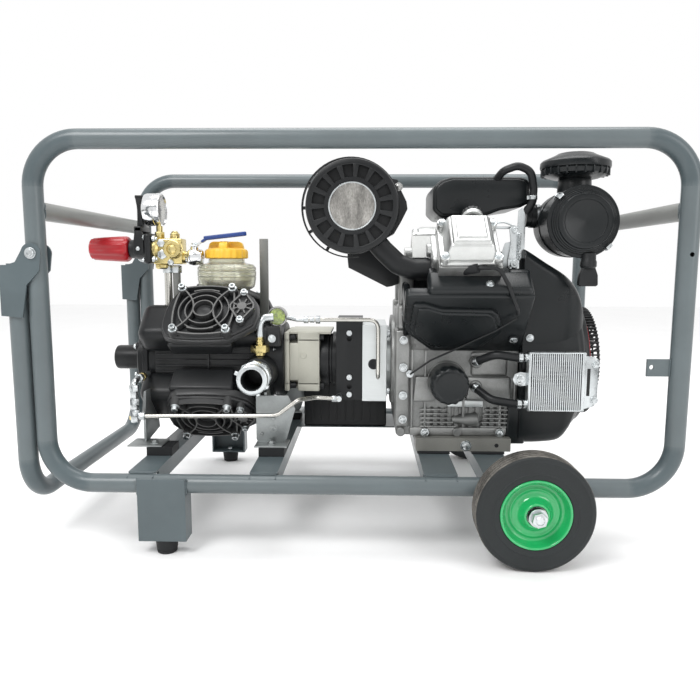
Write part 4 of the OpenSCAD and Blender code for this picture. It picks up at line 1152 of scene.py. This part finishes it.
def shroud(s, shape, screws):
    """One cooling shroud, its pressed panel, and its top bulge."""
    def y(a, b):
        return mirrored(s, a, b)
    outline = [(107, 262), (108, 176), (116, 158), (156, 117), (168, 111), (337, 111), (337, 262)]
    with shape.at(bank(s)), screws.at(bank(s)):
        shape.slot = 0
        shape.prism("y", outline, *y(-74, -63.5), soft=4, steps=3)
        shape.block((105, 118), y(-72, -50), (150, 262), soft=6, steps=3)
        shape.block((105, 118), y(-54, 4), (150, 225), soft=6, steps=3)
        shape.block((105, 118), (-72, 72), (150, 195), soft=6, steps=3)
        shape.block((108, 300), y(64, 74), (136, 195), soft=4)
        shape.block((110, 154), y(-70, -50), (250, 262), soft=4)
        shape.block((150, 300), y(-70, 4), (250, 262), soft=4)
        raised = [(120, 246), (116, 184), (122, 168), (154, 136), (166, 129), (246, 129), (258, 134),
                  (288, 172), (290, 184), (276, 222), (264, 232), (172, 234), (140, 247)]
        shape.prism("y", raised, *y(-82, -70), soft=3.4, steps=3)
        inner = [(205 + (u - 205) * 0.90, 186 + (v - 186) * 0.88) for u, v in raised]
        shape.prism("y", inner, *y(-85.5, -80), soft=3, steps=3)
        shape.block((146, 334), y(-70, -18), (244, 275), soft=9, steps=4)
        shape.block((296, 337), y(-70, -4), (236, 268), soft=7, steps=3)
        screws.hex_bolt((256, s * -55, 275), (0, 0, 1), r=5.6, h=3.6)
        shape.rod("y", (316, 150), *y(-78, -72), 9)
        screws.hex_bolt((316, s * -78, 150), (0, -s, 0), r=5.6, h=3.6)


def valve_cover(s, shape, screws):
    """The stepped cover on one cylinder head."""
    y0, y1 = (COVER_Y - 110, COVER_Y) if s > 0 else (-COVER_Y, 110 - COVER_Y)
    x, z = BANK_X[s], COVER_Z
    with shape.at(bank(s)), screws.at(bank(s)):
        shape.block((x - 55, x + 55), (y0, y1), (z, z + 8), soft=2.2)
        shape.frustum((x - 49, x + 49), (y0 + 4, y1 - 4), (z + 7, z + 40), (11, 9), soft=6, steps=4)
        shape.frustum((x - 36, x + 36), (y0 + 15, y1 - 15), (z + 39, z + 45), (4, 4), soft=2.6, steps=3)
        shape.frustum((x - 28, x + 28), (y0 + 24, y1 - 24), (z + 44.6, z + 48), (3, 3), soft=1.6, steps=3)
        for u in (-1, 1):
            for v in (y0 + 8, y1 - 8):
                shape.rod("z", (x + u * 47, v), z + 1, z + 18, 9, edge=1.6)
                screws.hex_bolt((x + u * 47, v, z + 18), (0, 0, 1), r=6.4, h=4.6)
        shape.rod("x", (s * (y1 - 30 if s > 0 else -30 - y0), z - 30), x - 74, x - 50, 13, edge=2)
        shape.block((x - 66, x - 50), (y0 + 30, y1 - 10), (z - 52, z - 8), soft=4)
        if s > 0:
            shape.hoop("y", (x + 10, z + 25), y1 - 8, y1 + 1, 12.3, 20)


def cylinder_dress():
    """Shrouds, rocker covers, their screws and the filler cap."""
    cover = Shape(GLOSSY)
    caps = Shape(COVER)
    screws = Shape(ZINC)
    for s in (1, -1):
        shroud(s, cover, screws)
        valve_cover(s, caps, screws)
    cover.make("shroud_panels", "cylinder_shrouds", bevel=0.5)
    caps.make("rocker_covers", "valve_covers", bevel=0.5)
    screws.make("engine_screws", body="frame", bevel=0)
    cap = Shape(PLASTIC)
    x, z, y = BANK_X[1] + 10, COVER_Z + 25, COVER_Y
    with cap.at(bank(1)):
        cap.rod("y", (x, z), y - 9, y + 2, 11.9)
        cap.lathe("y", (x, z), [(y + 1.4, 17), (y + 2, 19.4, 0.5), (y + 9, 19.4, 0.5), (y + 11, 18, 0.3),
                                (y + 12, 15), (y + 11, 13), (y + 11, 0)], seg=96, waves=16)
        cap.block((x - 16, x + 16), (y + 8, y + 19.6), (z - 4, z + 4), soft=1.6, steps=3)
    cap.make("oil_filler_grip", "oil_filler_cap", bevel=0)


def cheek(shape, side, x_end):
    """The swollen side of the blower housing, which falls away toward the fan."""
    stations = [(337, 138, 166, 548), (345, 139, 166, 546), (381, 139, 167, 523), (417, 137, 172, 501),
                (436, 133, 190, 484), (448, 128, 212, 467), (456, 121, 226, 450), (462, 112, 240, 430),
                (466, 101, 254, 410), (x_end, 84, 272, 384)]
    fine = []
    for k in range(len(stations) - 1):
        a, b = Vector(stations[k]), Vector(stations[k + 1])
        before = Vector(stations[max(k - 1, 0)])
        after = Vector(stations[min(k + 2, len(stations) - 1)])
        for i in range(CHEEK_STEPS):
            t = i / CHEEK_STEPS
            fine.append(0.5 * (2 * a + (b - before) * t + (2 * before - 5 * a + 4 * b - after) * t * t
                               + (3 * a - before - 3 * b + after) * t ** 3))
    fine.append(Vector(stations[-1]))
    loops = []
    for x, y, low, high in fine:
        loop = [(x, side * 24, low), (x, side * 24, high)]
        for k in range(9):
            t = math.pi / 2 * k / 8
            loop.append((x, side * (y - 22 + 22 * math.sin(t)), high - 22 + 22 * math.cos(t)))
        for k in range(9):
            t = math.pi / 2 * k / 8
            loop.append((x, side * (y - 22 + 22 * math.cos(t)), low + 22 - 22 * math.sin(t)))
        loops.append(loop)
    shape.loft(loops)
    shape.prism("y", [(316, 250), (312, 170), (318, 165), (350, 165), (350, 250)],
                *mirrored(side, 134, 60), soft=5, steps=3)


def blower():
    """The blower shell and the fan behind its guard."""
    s, screen = Span("blower_housing"), Span("fan_screen")
    axis = (0, DRIVE_Z)
    R, lip, end = s.y1, s.x1, s.x1 - 12
    house = Shape(GLOSSY, ZINC)
    house.lathe("x", axis, [(336, 71), (336, R - 4), (338, R - 1), (342, R), (end - 18, R),
                            (end - 8, R - 2.4),
                            (end - 2, R - 7), (end, R - 12), (end + 1, 132), (lip - 4, 131), (lip - 1, 129),
                            (lip, 125), (lip, 119.6), (lip - 3, 118.6), (end - 4, 118.6), (end - 6, R - 16),
                            (end - 12, R - 5), (342, R - 4), (340, 71)], seg=112, ring=True)
    for sign in (-1, 1):
        cheek(house, sign, lip - 4)
    house.block((308, 339), (-124, -119), (390, 531), soft=1)
    house.slot = 1
    house.rod("y", THROTTLE_PIVOT, -138, -119, 3)
    house.hex_bolt((352, -139, 378), (0, -1, 0), r=5.6, h=4)
    house.hex_bolt((342, -139, 500), (0, -1, 0), r=5, h=3)
    house.make("blower_shell", "blower_housing", bevel=0.4, smooth=40)

    fan = Shape(BLACK, REDMETAL, ALLOY)
    x1 = screen.x1
    red = (x1 - 38, x1 - 25)
    fan.slot = 1
    fan.hoop("x", axis, *red, 106, 113.4, seg=96)
    fan.slot = 0
    fan.hoop("x", axis, x1 - 10, x1 - 6, 105, 110, seg=96)
    for t in circle(84):
        with fan.at(about(t, "X", (0, 0, DRIVE_Z))):
            fan.block((red[1], x1 - 6), (-1.5, 1.5), (107, 113.4), soft=0.6)
    for t in circle(36):
        with fan.at(about(t, "X", (0, 0, DRIVE_Z))):
            fan.block((x1 - 9.6, x1 - 7), (-1.7, 1.7), (28, 107))
    for r in (52, 78):
        fan.hoop("x", axis, x1 - 10, x1 - 7, r - 1.6, r + 1.6, seg=80)
    fan.lathe("x", axis, [(red[0], 0), (red[0], 106.5), (red[0] + 2, 106.5), (red[0] + 4, 40), (x1 - 14, 34),
                          (x1 - 5, 32), (x1 - 1, 30), (x1, 26), (x1 - 2, 0)], seg=72)
    fan.slot = 2
    for t in circle(12):
        with fan.at(about(t, "X", (0, 0, DRIVE_Z))):
            fan.block((red[0] + 3, x1 - 12), (-1.6, 1.6), (36, 102))
    fan.make("fan_guard", "fan_screen", bevel=0)


def cooler():
    """The finned oil cooler and its bracket."""
    s = Span("oil_cooler")
    front, right = s.y0, 446
    core = Shape(PIPE, ALLOY, ZINC, BLACK)
    core.slot = 2
    for x in ((340, 345), (right - 5, right)):
        core.block(x, (front + 2, front + 24), (s.z0, s.z1), soft=1)
    for z in ((s.z0, s.z0 + 2.4), (s.z1 - 2.4, s.z1)):
        core.block((342, right - 2), (front + 2, front + 24), z, soft=0.6)
    for i in range(25):
        x = 346.6 + 3.86 * i
        core.block((x, x + 1.8), (front + 1, front + 13.8), (s.z0 + 2, s.z1 - 2))
    core.slot = 1
    for i in range(12):
        z = s.z0 + 9 + 8.6 * i
        core.tube([(343, front + 10.6, z), (right - 3, front + 10.6, z)], 2.3, seg=14)
    # A black sheet just behind the fins: painted shade seen through the gaps between them.
    core.slot = 3
    core.block((344, right - 4), (front + 14, front + 18), (s.z0 + 3, s.z1 - 3))
    core.slot = 2
    core.prism("y", [(right - 2, s.z1 - 6), (464, s.z1 - 8), (470, s.z1 - 14), (470, s.z0 + 20),
                     (464, s.z0 + 10), (right - 2, s.z0 + 4)], front + 3, front + 6, soft=0.8)
    core.block((458, 464), (front + 5, -146), (s.z0 + 14, s.z1 - 16), soft=0.6)
    for z in (s.z0 + 22, s.z1 - 22):
        core.hex_bolt((464, front + 3, z), (0, -1, 0), r=5.4, h=4)
    core.prism("y", [(341, 292), (341, 316), (326, 318), (316, 314), (312, 304), (316, 294), (326, 290)],
               front + 9, front + 12, soft=1)
    core.hex_bolt((326, front + 9, 304), (0, -1, 0), r=7, h=4)
    for z in (345, 256):
        core.rod("x", (-178, z), 330, 342, 7.6)
        core.hexagon("x", (-178, z), 332, 339, 8.4)
    core.slot = 3
    core.block((right + 3, right + 9), (front + 2.2, front + 4), (s.z0 + 30, s.z1 - 30), soft=0.6)
    core.make("cooler_core", "oil_cooler", bevel=0)


def oil_filter():
    """The grooved filter can on its seat."""
    s = Span("oil_filter")
    c = (s.x, s.z)
    can = Shape(GLOSSY, ALLOY)
    y0 = s.y0
    can.lathe("y", c, [(y0 + 2.4, 0), (y0 + 2.2, 24), (y0 + 1.2, 27.5), (y0, 29.5, 0.3), (y0 + 0.6, 32, 0.8),
                       (y0 + 4, 34.6, 1.2), (y0 + 14, 36, 1.3), (y0 + 16, 36.8, 0.4), (y0 + 20, 37.4),
                       (-134, 37.6), (-131, 36), (-130, 34), (-130, 0)], seg=120, waves=15)
    can.slot = 1
    can.lathe("y", c, [(-132, 30), (-132, 38), (-128, 40), (-118, 41), (-118, 30)], seg=48, ring=True)
    can.make("filter_can", "oil_filter", bevel=0, smooth=50)


def hose_clamp(shape, at, along, r):
    """A band clamp with its screw housing."""
    with shape.at(facing(at, along)):
        shape.hoop("z", (0, 0), -4, 4, r - 0.4, r + 1.1, seg=28)
        shape.block((r - 0.5, r + 4.5), (-3.4, 3.4), (-3.4, 3.4), soft=0.6)


def hoses():
    """Cooler hoses, the breather hose and the ignition leads."""
    line = Shape(PLASTIC, ZINC, RUBBER)
    line.tube([(245, -140, 330), (280, -172, 350), (318, -178, 345), (334, -178, 345)], 8, bend=30, seg=24)
    line.tube([(245, -140, 282), (275, -172, 262), (318, -178, 256), (334, -178, 256)], 8, bend=30, seg=24)
    line.tube([(286, -70, 680), (300, -92, 700), (326, -101, 709), (352, -101, 698), (358, -100, 664),
               (357, -100, 640), (345, -95, 618)], 7.6, bend=24, seg=24)
    line.tube([(219, -212, 509), (240, -226, 513), (271, -228, 513), (287, -232, 484), (304, -236, 440),
               (307, -225, 430)], 3.6, bend=22)
    line.tube([(311, -204, 421), (276, -186, 396), (215, -160, 362), (160, -146, 334), (121, -139, 305)],
              1.9, bend=40, seg=12)
    line.slot = 2
    line.tube([(206, -196, 505), (218, -214, 509), (234, -226, 512)], 8.6, bend=14, seg=24)
    line.slot = 1
    hose_clamp(line, (326, -178, 345), (1, 0, 0), 8.2)
    hose_clamp(line, (326, -178, 256), (1, 0, 0), 8.2)
    hose_clamp(line, (250, -144, 332), (35, -32, 20), 8.2)
    hose_clamp(line, (250, -144, 280), (30, -32, -20), 8.2)
    hose_clamp(line, (357, -100, 648), (0, 0, 1), 7.6)
    line.hex_bolt((121, -134, 305), (0, -1, 0), r=5.6, h=3)
    line.make("hoses_and_leads", "engine_hoses", bevel=0)


def intake():
    """The intake cover and the manifold under it."""
    s = Span("intake_cover")
    box = Shape(GLOSSY, ZINC, CASTING)
    outline = [(s.x0, 626), (s.x0, 664), (168, 674), (180, 684), (200, s.z1), (338, s.z1), (350, 687),
               (356, 678), (356, 640), (340, 632), (300, 626), (262, 612), (180, 612)]
    box.prism("y", outline, -80, 80, soft=6, steps=4)
    inner = [(262 + (x - 262) * 0.94, 652 + (z - 652) * 0.88) for x, z in outline]
    box.prism("y", inner, -83, 83, soft=3, steps=3)
    box.block((200, 330), (-62, 62), (s.z1 - 2, s.z1 + 2.4), soft=2)
    box.rod("x", (-60, 615), 352, 369.6, 21)
    box.slot = 2
    box.block((200, 290), (-28, 28), (470, 612), soft=6)
    box.block((190, 262), (-60, 60), (560, 606), soft=8, steps=3)
    box.rod("y", (236, 590), -78, -56, 17)
    box.slot = 1
    box.hex_bolt((236, -78, 590), (0, -1, 0), r=8, h=4)
    box.make("intake_shell", "intake_cover", bevel=0.5)


def air_filter():
    """The filter canister, its lid with the dust valve, and the rain cap."""
    s, cover = Span("air_filter_canister"), Span("air_filter_cover")
    cap = Span("precleaner_cap")
    x, z = s.x, 598
    c = (x, z)
    can = Shape(GLOSSY, ZINC, PLASTIC)
    can.lathe("y", c, [(-165, 62), (-165, 64.6), (-160, 65), (-158, 63.6), (-100, 63.6), (-98, 65),
                       (-92, 65),
                       (-90, 63.6), (-56, 63.6), (-46, 62), (-41, 57), (-40, 50), (-40, 0)], seg=88)
    can.lathe("z", (x + 1, -100), [(650, 32), (664, 32), (680, 31), (683, 30), (683, 27), (652, 27)], seg=56,
              ring=True)
    can.tube([(400, -60, 610), (384, -60, 614), (362, -60, 615)], 22.6, bend=8, seg=40)
    can.slot = 1
    for a in (2.36, -0.78):
        with can.at(about(-a, "Y", (x, 0, z))):
            can.block((62, 68.6), (-178, -148), (-6, 6), soft=1.4)
            can.tube([(67.6, -176, -5), (69.6, -160, -5), (69.6, -160, 5), (67.6, -176, 5)], 1.2, bend=2)
    can.hoop("x", (-60, 615), 372, 380, 22.8, 24.4)
    can.make("filter_canister", "air_filter_canister", bevel=0.3)

    lid = Shape(GLOSSY, PLASTIC)
    y = cover.y0
    lid.lathe("y", c, [(-165, 60), (-165, 66), (-167, 67), (-169, 66), (-169.6, 60), (-173, 59.4),
                       (-173.6, 57), (-176.6, 56.6), (-177.2, 54), (-180, 53.6), (-180.8, 51), (-184, 49.6),
                       (y, 47), (y, 42), (-184.2, 40), (-183.2, 39.4), (-183.6, 38.4), (-183, 37.4),
                       (-183, 3), (-182, 0)], seg=96)
    lid.slot = 1
    vx = x + 12
    lid.lathe("z", (vx, -169), [(540, 13), (528, 13.4), (524, 15), (516, 15), (512, 12)], seg=40)
    lid.prism("y", [(vx - 11, 516), (vx + 11, 516), (vx + 17, 500), (vx + 18, 481), (vx + 14, 479),
                    (vx - 14, 479), (vx - 18, 481), (vx - 17, 500)], -176, -162, soft=2.4, steps=3)
    lid.make("filter_lid", "air_filter_cover", bevel=0.3)

    top = Shape(GLOSSY)
    R = (cap.x1 - cap.x0) / 2
    top.lathe("z", (cap.x, cap.y), [(cap.z0, 31), (684, 44), (688, 56), (691, 61), (699, 63), (701, 62),
                                    (702, R - 0.8), (705, R), (713, R - 0.4), (715, R - 2), (717, 62),
                                    (726, 41), (728.4, 36.6), (730, 34), (cap.z1, 30), (cap.z1, 0)], seg=88)
    for t in circle(24):
        with top.at(about(t, "Z", (cap.x, cap.y, 0))):
            top.block((50, 64), (-1.4, 1.4), (688, 702), soft=0.4)
    top.make("rain_cap", "precleaner_cap", bevel=0)


def throttle():
    """The throttle plate, its bracket, spring and link."""
    s = Span("throttle_lever")
    lever = Shape(ZINC)
    lever.hoop("y", THROTTLE_PIVOT, s.y0, s.y1, 3.1, 7.2)
    for sign in (-1, 1):
        cheek_x = sorted(THROTTLE_PIVOT[0] + sign * reach for reach in (3.6, 11))
        lever.block(cheek_x, (-128, -125), (511, 529), soft=0.8)
    lever.prism("y", [(307, 527), (329, 527), (328, 566), (323, 592), (313, 594), (308, 586), (311, 560)],
                -128, -125, soft=0.8)
    lever.hex_bolt((318, -128, 584), (0, -1, 0), r=4.4, h=2.4)
    lever.make("throttle_plate", "throttle_lever", bevel=0)
    link = Shape(ZINC, BLACK)
    link.tube([(318, -122, 592), (300, -118, 600), (262, -96, 598), (240, -82, 596)], 1.6, bend=12)
    link.prism("y", [(296, 500), (340, 500), (340, 612), (334, 628), (326, 622), (324, 566), (302, 560),
                     (296, 540)], -119, -117, soft=0.6)
    link.block((280, 326), (-118, -96), (588, 592), soft=0.8)
    coil = [(327 + 3.2 * math.cos(t * 0.9), -132 + 3.2 * math.sin(t * 0.9), 528 + t * 0.42)
            for t in range(120)]
    link.tube(coil, 0.7, seg=8)
    link.make("throttle_linkage", body="frame", bevel=0)


def muffler():
    """The muffler, its exhaust pipe and the slotted guard."""
    guard = Span("muffler_guard")
    x, z = guard.x, guard.z
    c = (x, z)
    R = (guard.x1 - guard.x0) / 2
    pipe_r, pipe_y, pipe_z = 20, -150, 509
    pot = Shape(BLACK, STEEL, ALLOY)
    pot.lathe("y", c, [(-194, 0), (-194, 76), (-191, 80), (-184, 81), (-176, 80), (-174, 73), (-136, 72),
                       (-134, 73.6), (-130, 73.6), (-128, 72), (-80, 72), (-76, 70), (-72, 64), (-72, 0)],
              seg=88)
    run = [(46, 568), (66, 545), (94, 519), (124, pipe_z), (164, pipe_z)]
    pot.tube([(px, pipe_y, pz) for px, pz in run], pipe_r, bend=30, seg=40)
    pot.lathe("x", (pipe_y, pipe_z), [(154, pipe_r), (154, 27), (157, 28.4), (162, 28.4), (164.6, 27),
                                       (164.6, pipe_r)], seg=40, ring=True)
    pot.prism("y", [(-4, 596), (-4, 531), (-2, 512), (76, 473), (87, 475), (100, 480), (100, 503), (86, 503),
                    (56, 600)], -72, -68, soft=0.8)
    for t in circle(4):
        with pot.at(about(t, "Y", (x, 0, z))):
            pot.block((70, R - 3), (-134, -128), (-8, 8), soft=0.6)
    pot.prism("y", [(50, 556), (88, 578), (101, 600), (114, 626), (112, 640), (101, 662), (94, 682),
                    (50, 690)],
              -104, -100, soft=1)
    pot.slot = 2
    pot.hoop("x", (pipe_y, pipe_z), 164.2, 170, pipe_r, 25, seg=40)
    pot.slot = 1
    pot.hex_bolt((96, -104, 668), (0, -1, 0), r=6, h=4)
    pot.make("muffler_pot", "muffler_body", bevel=0.4)

    cage = Shape(BLACK, BRUSHED, ZINC)
    y = guard.y0
    middle = (x, 0, z)
    cage.lathe("y", c, [(y + 1, 73.4), (y, 75), (y, 80.6), (y + 1.6, 83.4), (y + 5, R), (y + 30, R),
                        (y + 30, R - 2.6), (y + 6, R - 2.8), (y + 4.6, 80),
                        (y + 4.6, 74)], seg=96, ring=True)
    cage.hoop("y", c, y, y + 4, 43.6, 52, seg=80, edge=1.4)
    for t in circle(15, 0.2):
        with cage.at(about(t, "Y", middle)):
            cage.prism("y", [(50, -3.4), (75, -5.6), (75, 5.6), (50, 3.4)], y + 0.3, y + 4, soft=1)
    # The guard is open toward the exhaust pipe, over this half angle for the slots and for the strap
    gap, slot_gap, strap_gap = [math.radians(a) for a in (55.5, 18, 24)]
    for count, start, r0, r1, y0, y1, half in ((72, 0, R - 2.8, R - 0.1, y + 64, guard.y1, 4),
                                               (24, 0.06, R - 2.6, R - 0.2, y + 28, y + 66, 4.6)):
        for t in circle(count, start):
            away = abs((t - gap + math.pi) % (2 * math.pi) - math.pi)
            if away > slot_gap:
                with cage.at(about(t, "Y", middle)):
                    cage.block((r0, r1), (y0, y1), (-half, half))
    strap = (x - 3.4, 0, z + 0.6)
    for k, t in enumerate(circle(60)):
        away = abs((t - gap + math.pi) % (2 * math.pi) - math.pi)
        if away < strap_gap:
            continue
        with cage.at(about(t, "Y", strap)):
            cage.block((90.2, 92.8), (y + 44, y + 60), (-5, 5))
            if k % 5 == 0:
                cage.block((R - 1, 91), (y + 46, y + 60), (-2.6, 2.6))
    cage.slot = 1
    cage.lathe("y", c, [(y + 2.6, 0), (y + 2.2, 30), (y + 2.4, 41), (y + 5, 41), (y + 5, 0)], seg=80)
    cage.slot = 2
    cage.hoop("y", c, y + 1, y + 4, 40.6, 43.8, seg=80, edge=0.8)
    cage.make("muffler_cage", "muffler_guard", bevel=0.25)


def battery():
    """The battery box with its terminals."""
    s = Span("battery")
    box = Shape(PLASTIC, STEEL, RED)
    box.block((s.x0, s.x1), (s.y0, s.y1), (s.z0, 270), soft=4, steps=3)
    box.block((s.x0 + 2, s.x1 - 2), (s.y0 + 2, s.y1 - 2), (269, 274), soft=1)
    box.block((s.x0, s.x1), (s.y0, s.y1), (273, 292), soft=4, steps=3)
    box.block((s.x0 + 18, s.x1 - 18), (s.y0 + 18, s.y1 - 18), (290, 300), soft=4, steps=3)
    for i in range(6):
        box.rod("z", (s.x0 + 40 + 22 * i, s.y - 14), 299, 303, 8)
    for i in range(9):
        px = s.x0 + 18 + i * 19
        box.block((px, px + 3), (s.y0 - 0.8, s.y1 + 0.8), (s.z0 + 14, 262), soft=0.5)
    for px, slot in ((s.x0 + 22, 2), (s.x1 - 22, 0)):
        box.slot = slot
        box.hoop("z", (px, s.y + 42), 296, 302, 8, 13)
        box.slot = 1
        box.rod("z", (px, s.y + 42), 298, s.z1, 8)
    box.make("battery_box", "battery", bevel=0.3)


for build in (gearbox, crankcase, cylinder_dress, blower, cooler, oil_filter, hoses, intake, air_filter,
              throttle, muffler, battery):
    build()


# ---------------------------------------------------------------- studio

def floor():
    """The plain pale ground."""
    material = finish("studio_floor", (0.93, 0.93, 0.93), rough=0.55, tone=0.012, grain=60, bump=0.01, wear=0,
                      blotch=3)
    bpy.ops.mesh.primitive_grid_add(x_subdivisions=16, y_subdivisions=16, size=14)
    ground = bpy.context.object
    ground.name = "studio_floor"
    ground.data.materials.append(material)


# Name, place, target, size and power
LIGHTS = [("key_light", (-1.3, -2.0, 2.6), (0, 0, 0.35), (1.2, 1.2), 52),
          ("fill_light", (2.2, -1.8, 1.4), (0, 0, 0.35), (0.9, 1.8), 16),
          ("top_light", (0.1, 0.3, 2.8), (0, 0, 0.3), (2.4, 1.4), 40)]


def lamp(name, at, target, size, power):
    """A soft rectangular light that faces its target."""
    data = bpy.data.lights.new(name, "AREA")
    data.shape, data.size, data.size_y = "RECTANGLE", size[0], size[1]
    data.energy = power
    light = bpy.data.objects.new(name, data)
    light.matrix_world = Matrix.Translation(at) @ (Vector(target) - Vector(at)).to_track_quat(
        "-Z", "Y").to_matrix().to_4x4()
    bpy.context.scene.collection.objects.link(light)


def studio():
    """A white surround and three soft lights."""
    world = bpy.data.worlds.new("studio")
    world.use_nodes = True
    background = world.node_tree.nodes["Background"]
    background.inputs["Color"].default_value = (1, 1, 1, 1)
    background.inputs["Strength"].default_value = 1.0
    bpy.context.scene.world = world
    for light in LIGHTS:
        lamp(*light)
    bpy.context.scene.view_settings.view_transform = "Standard"


floor()
studio()
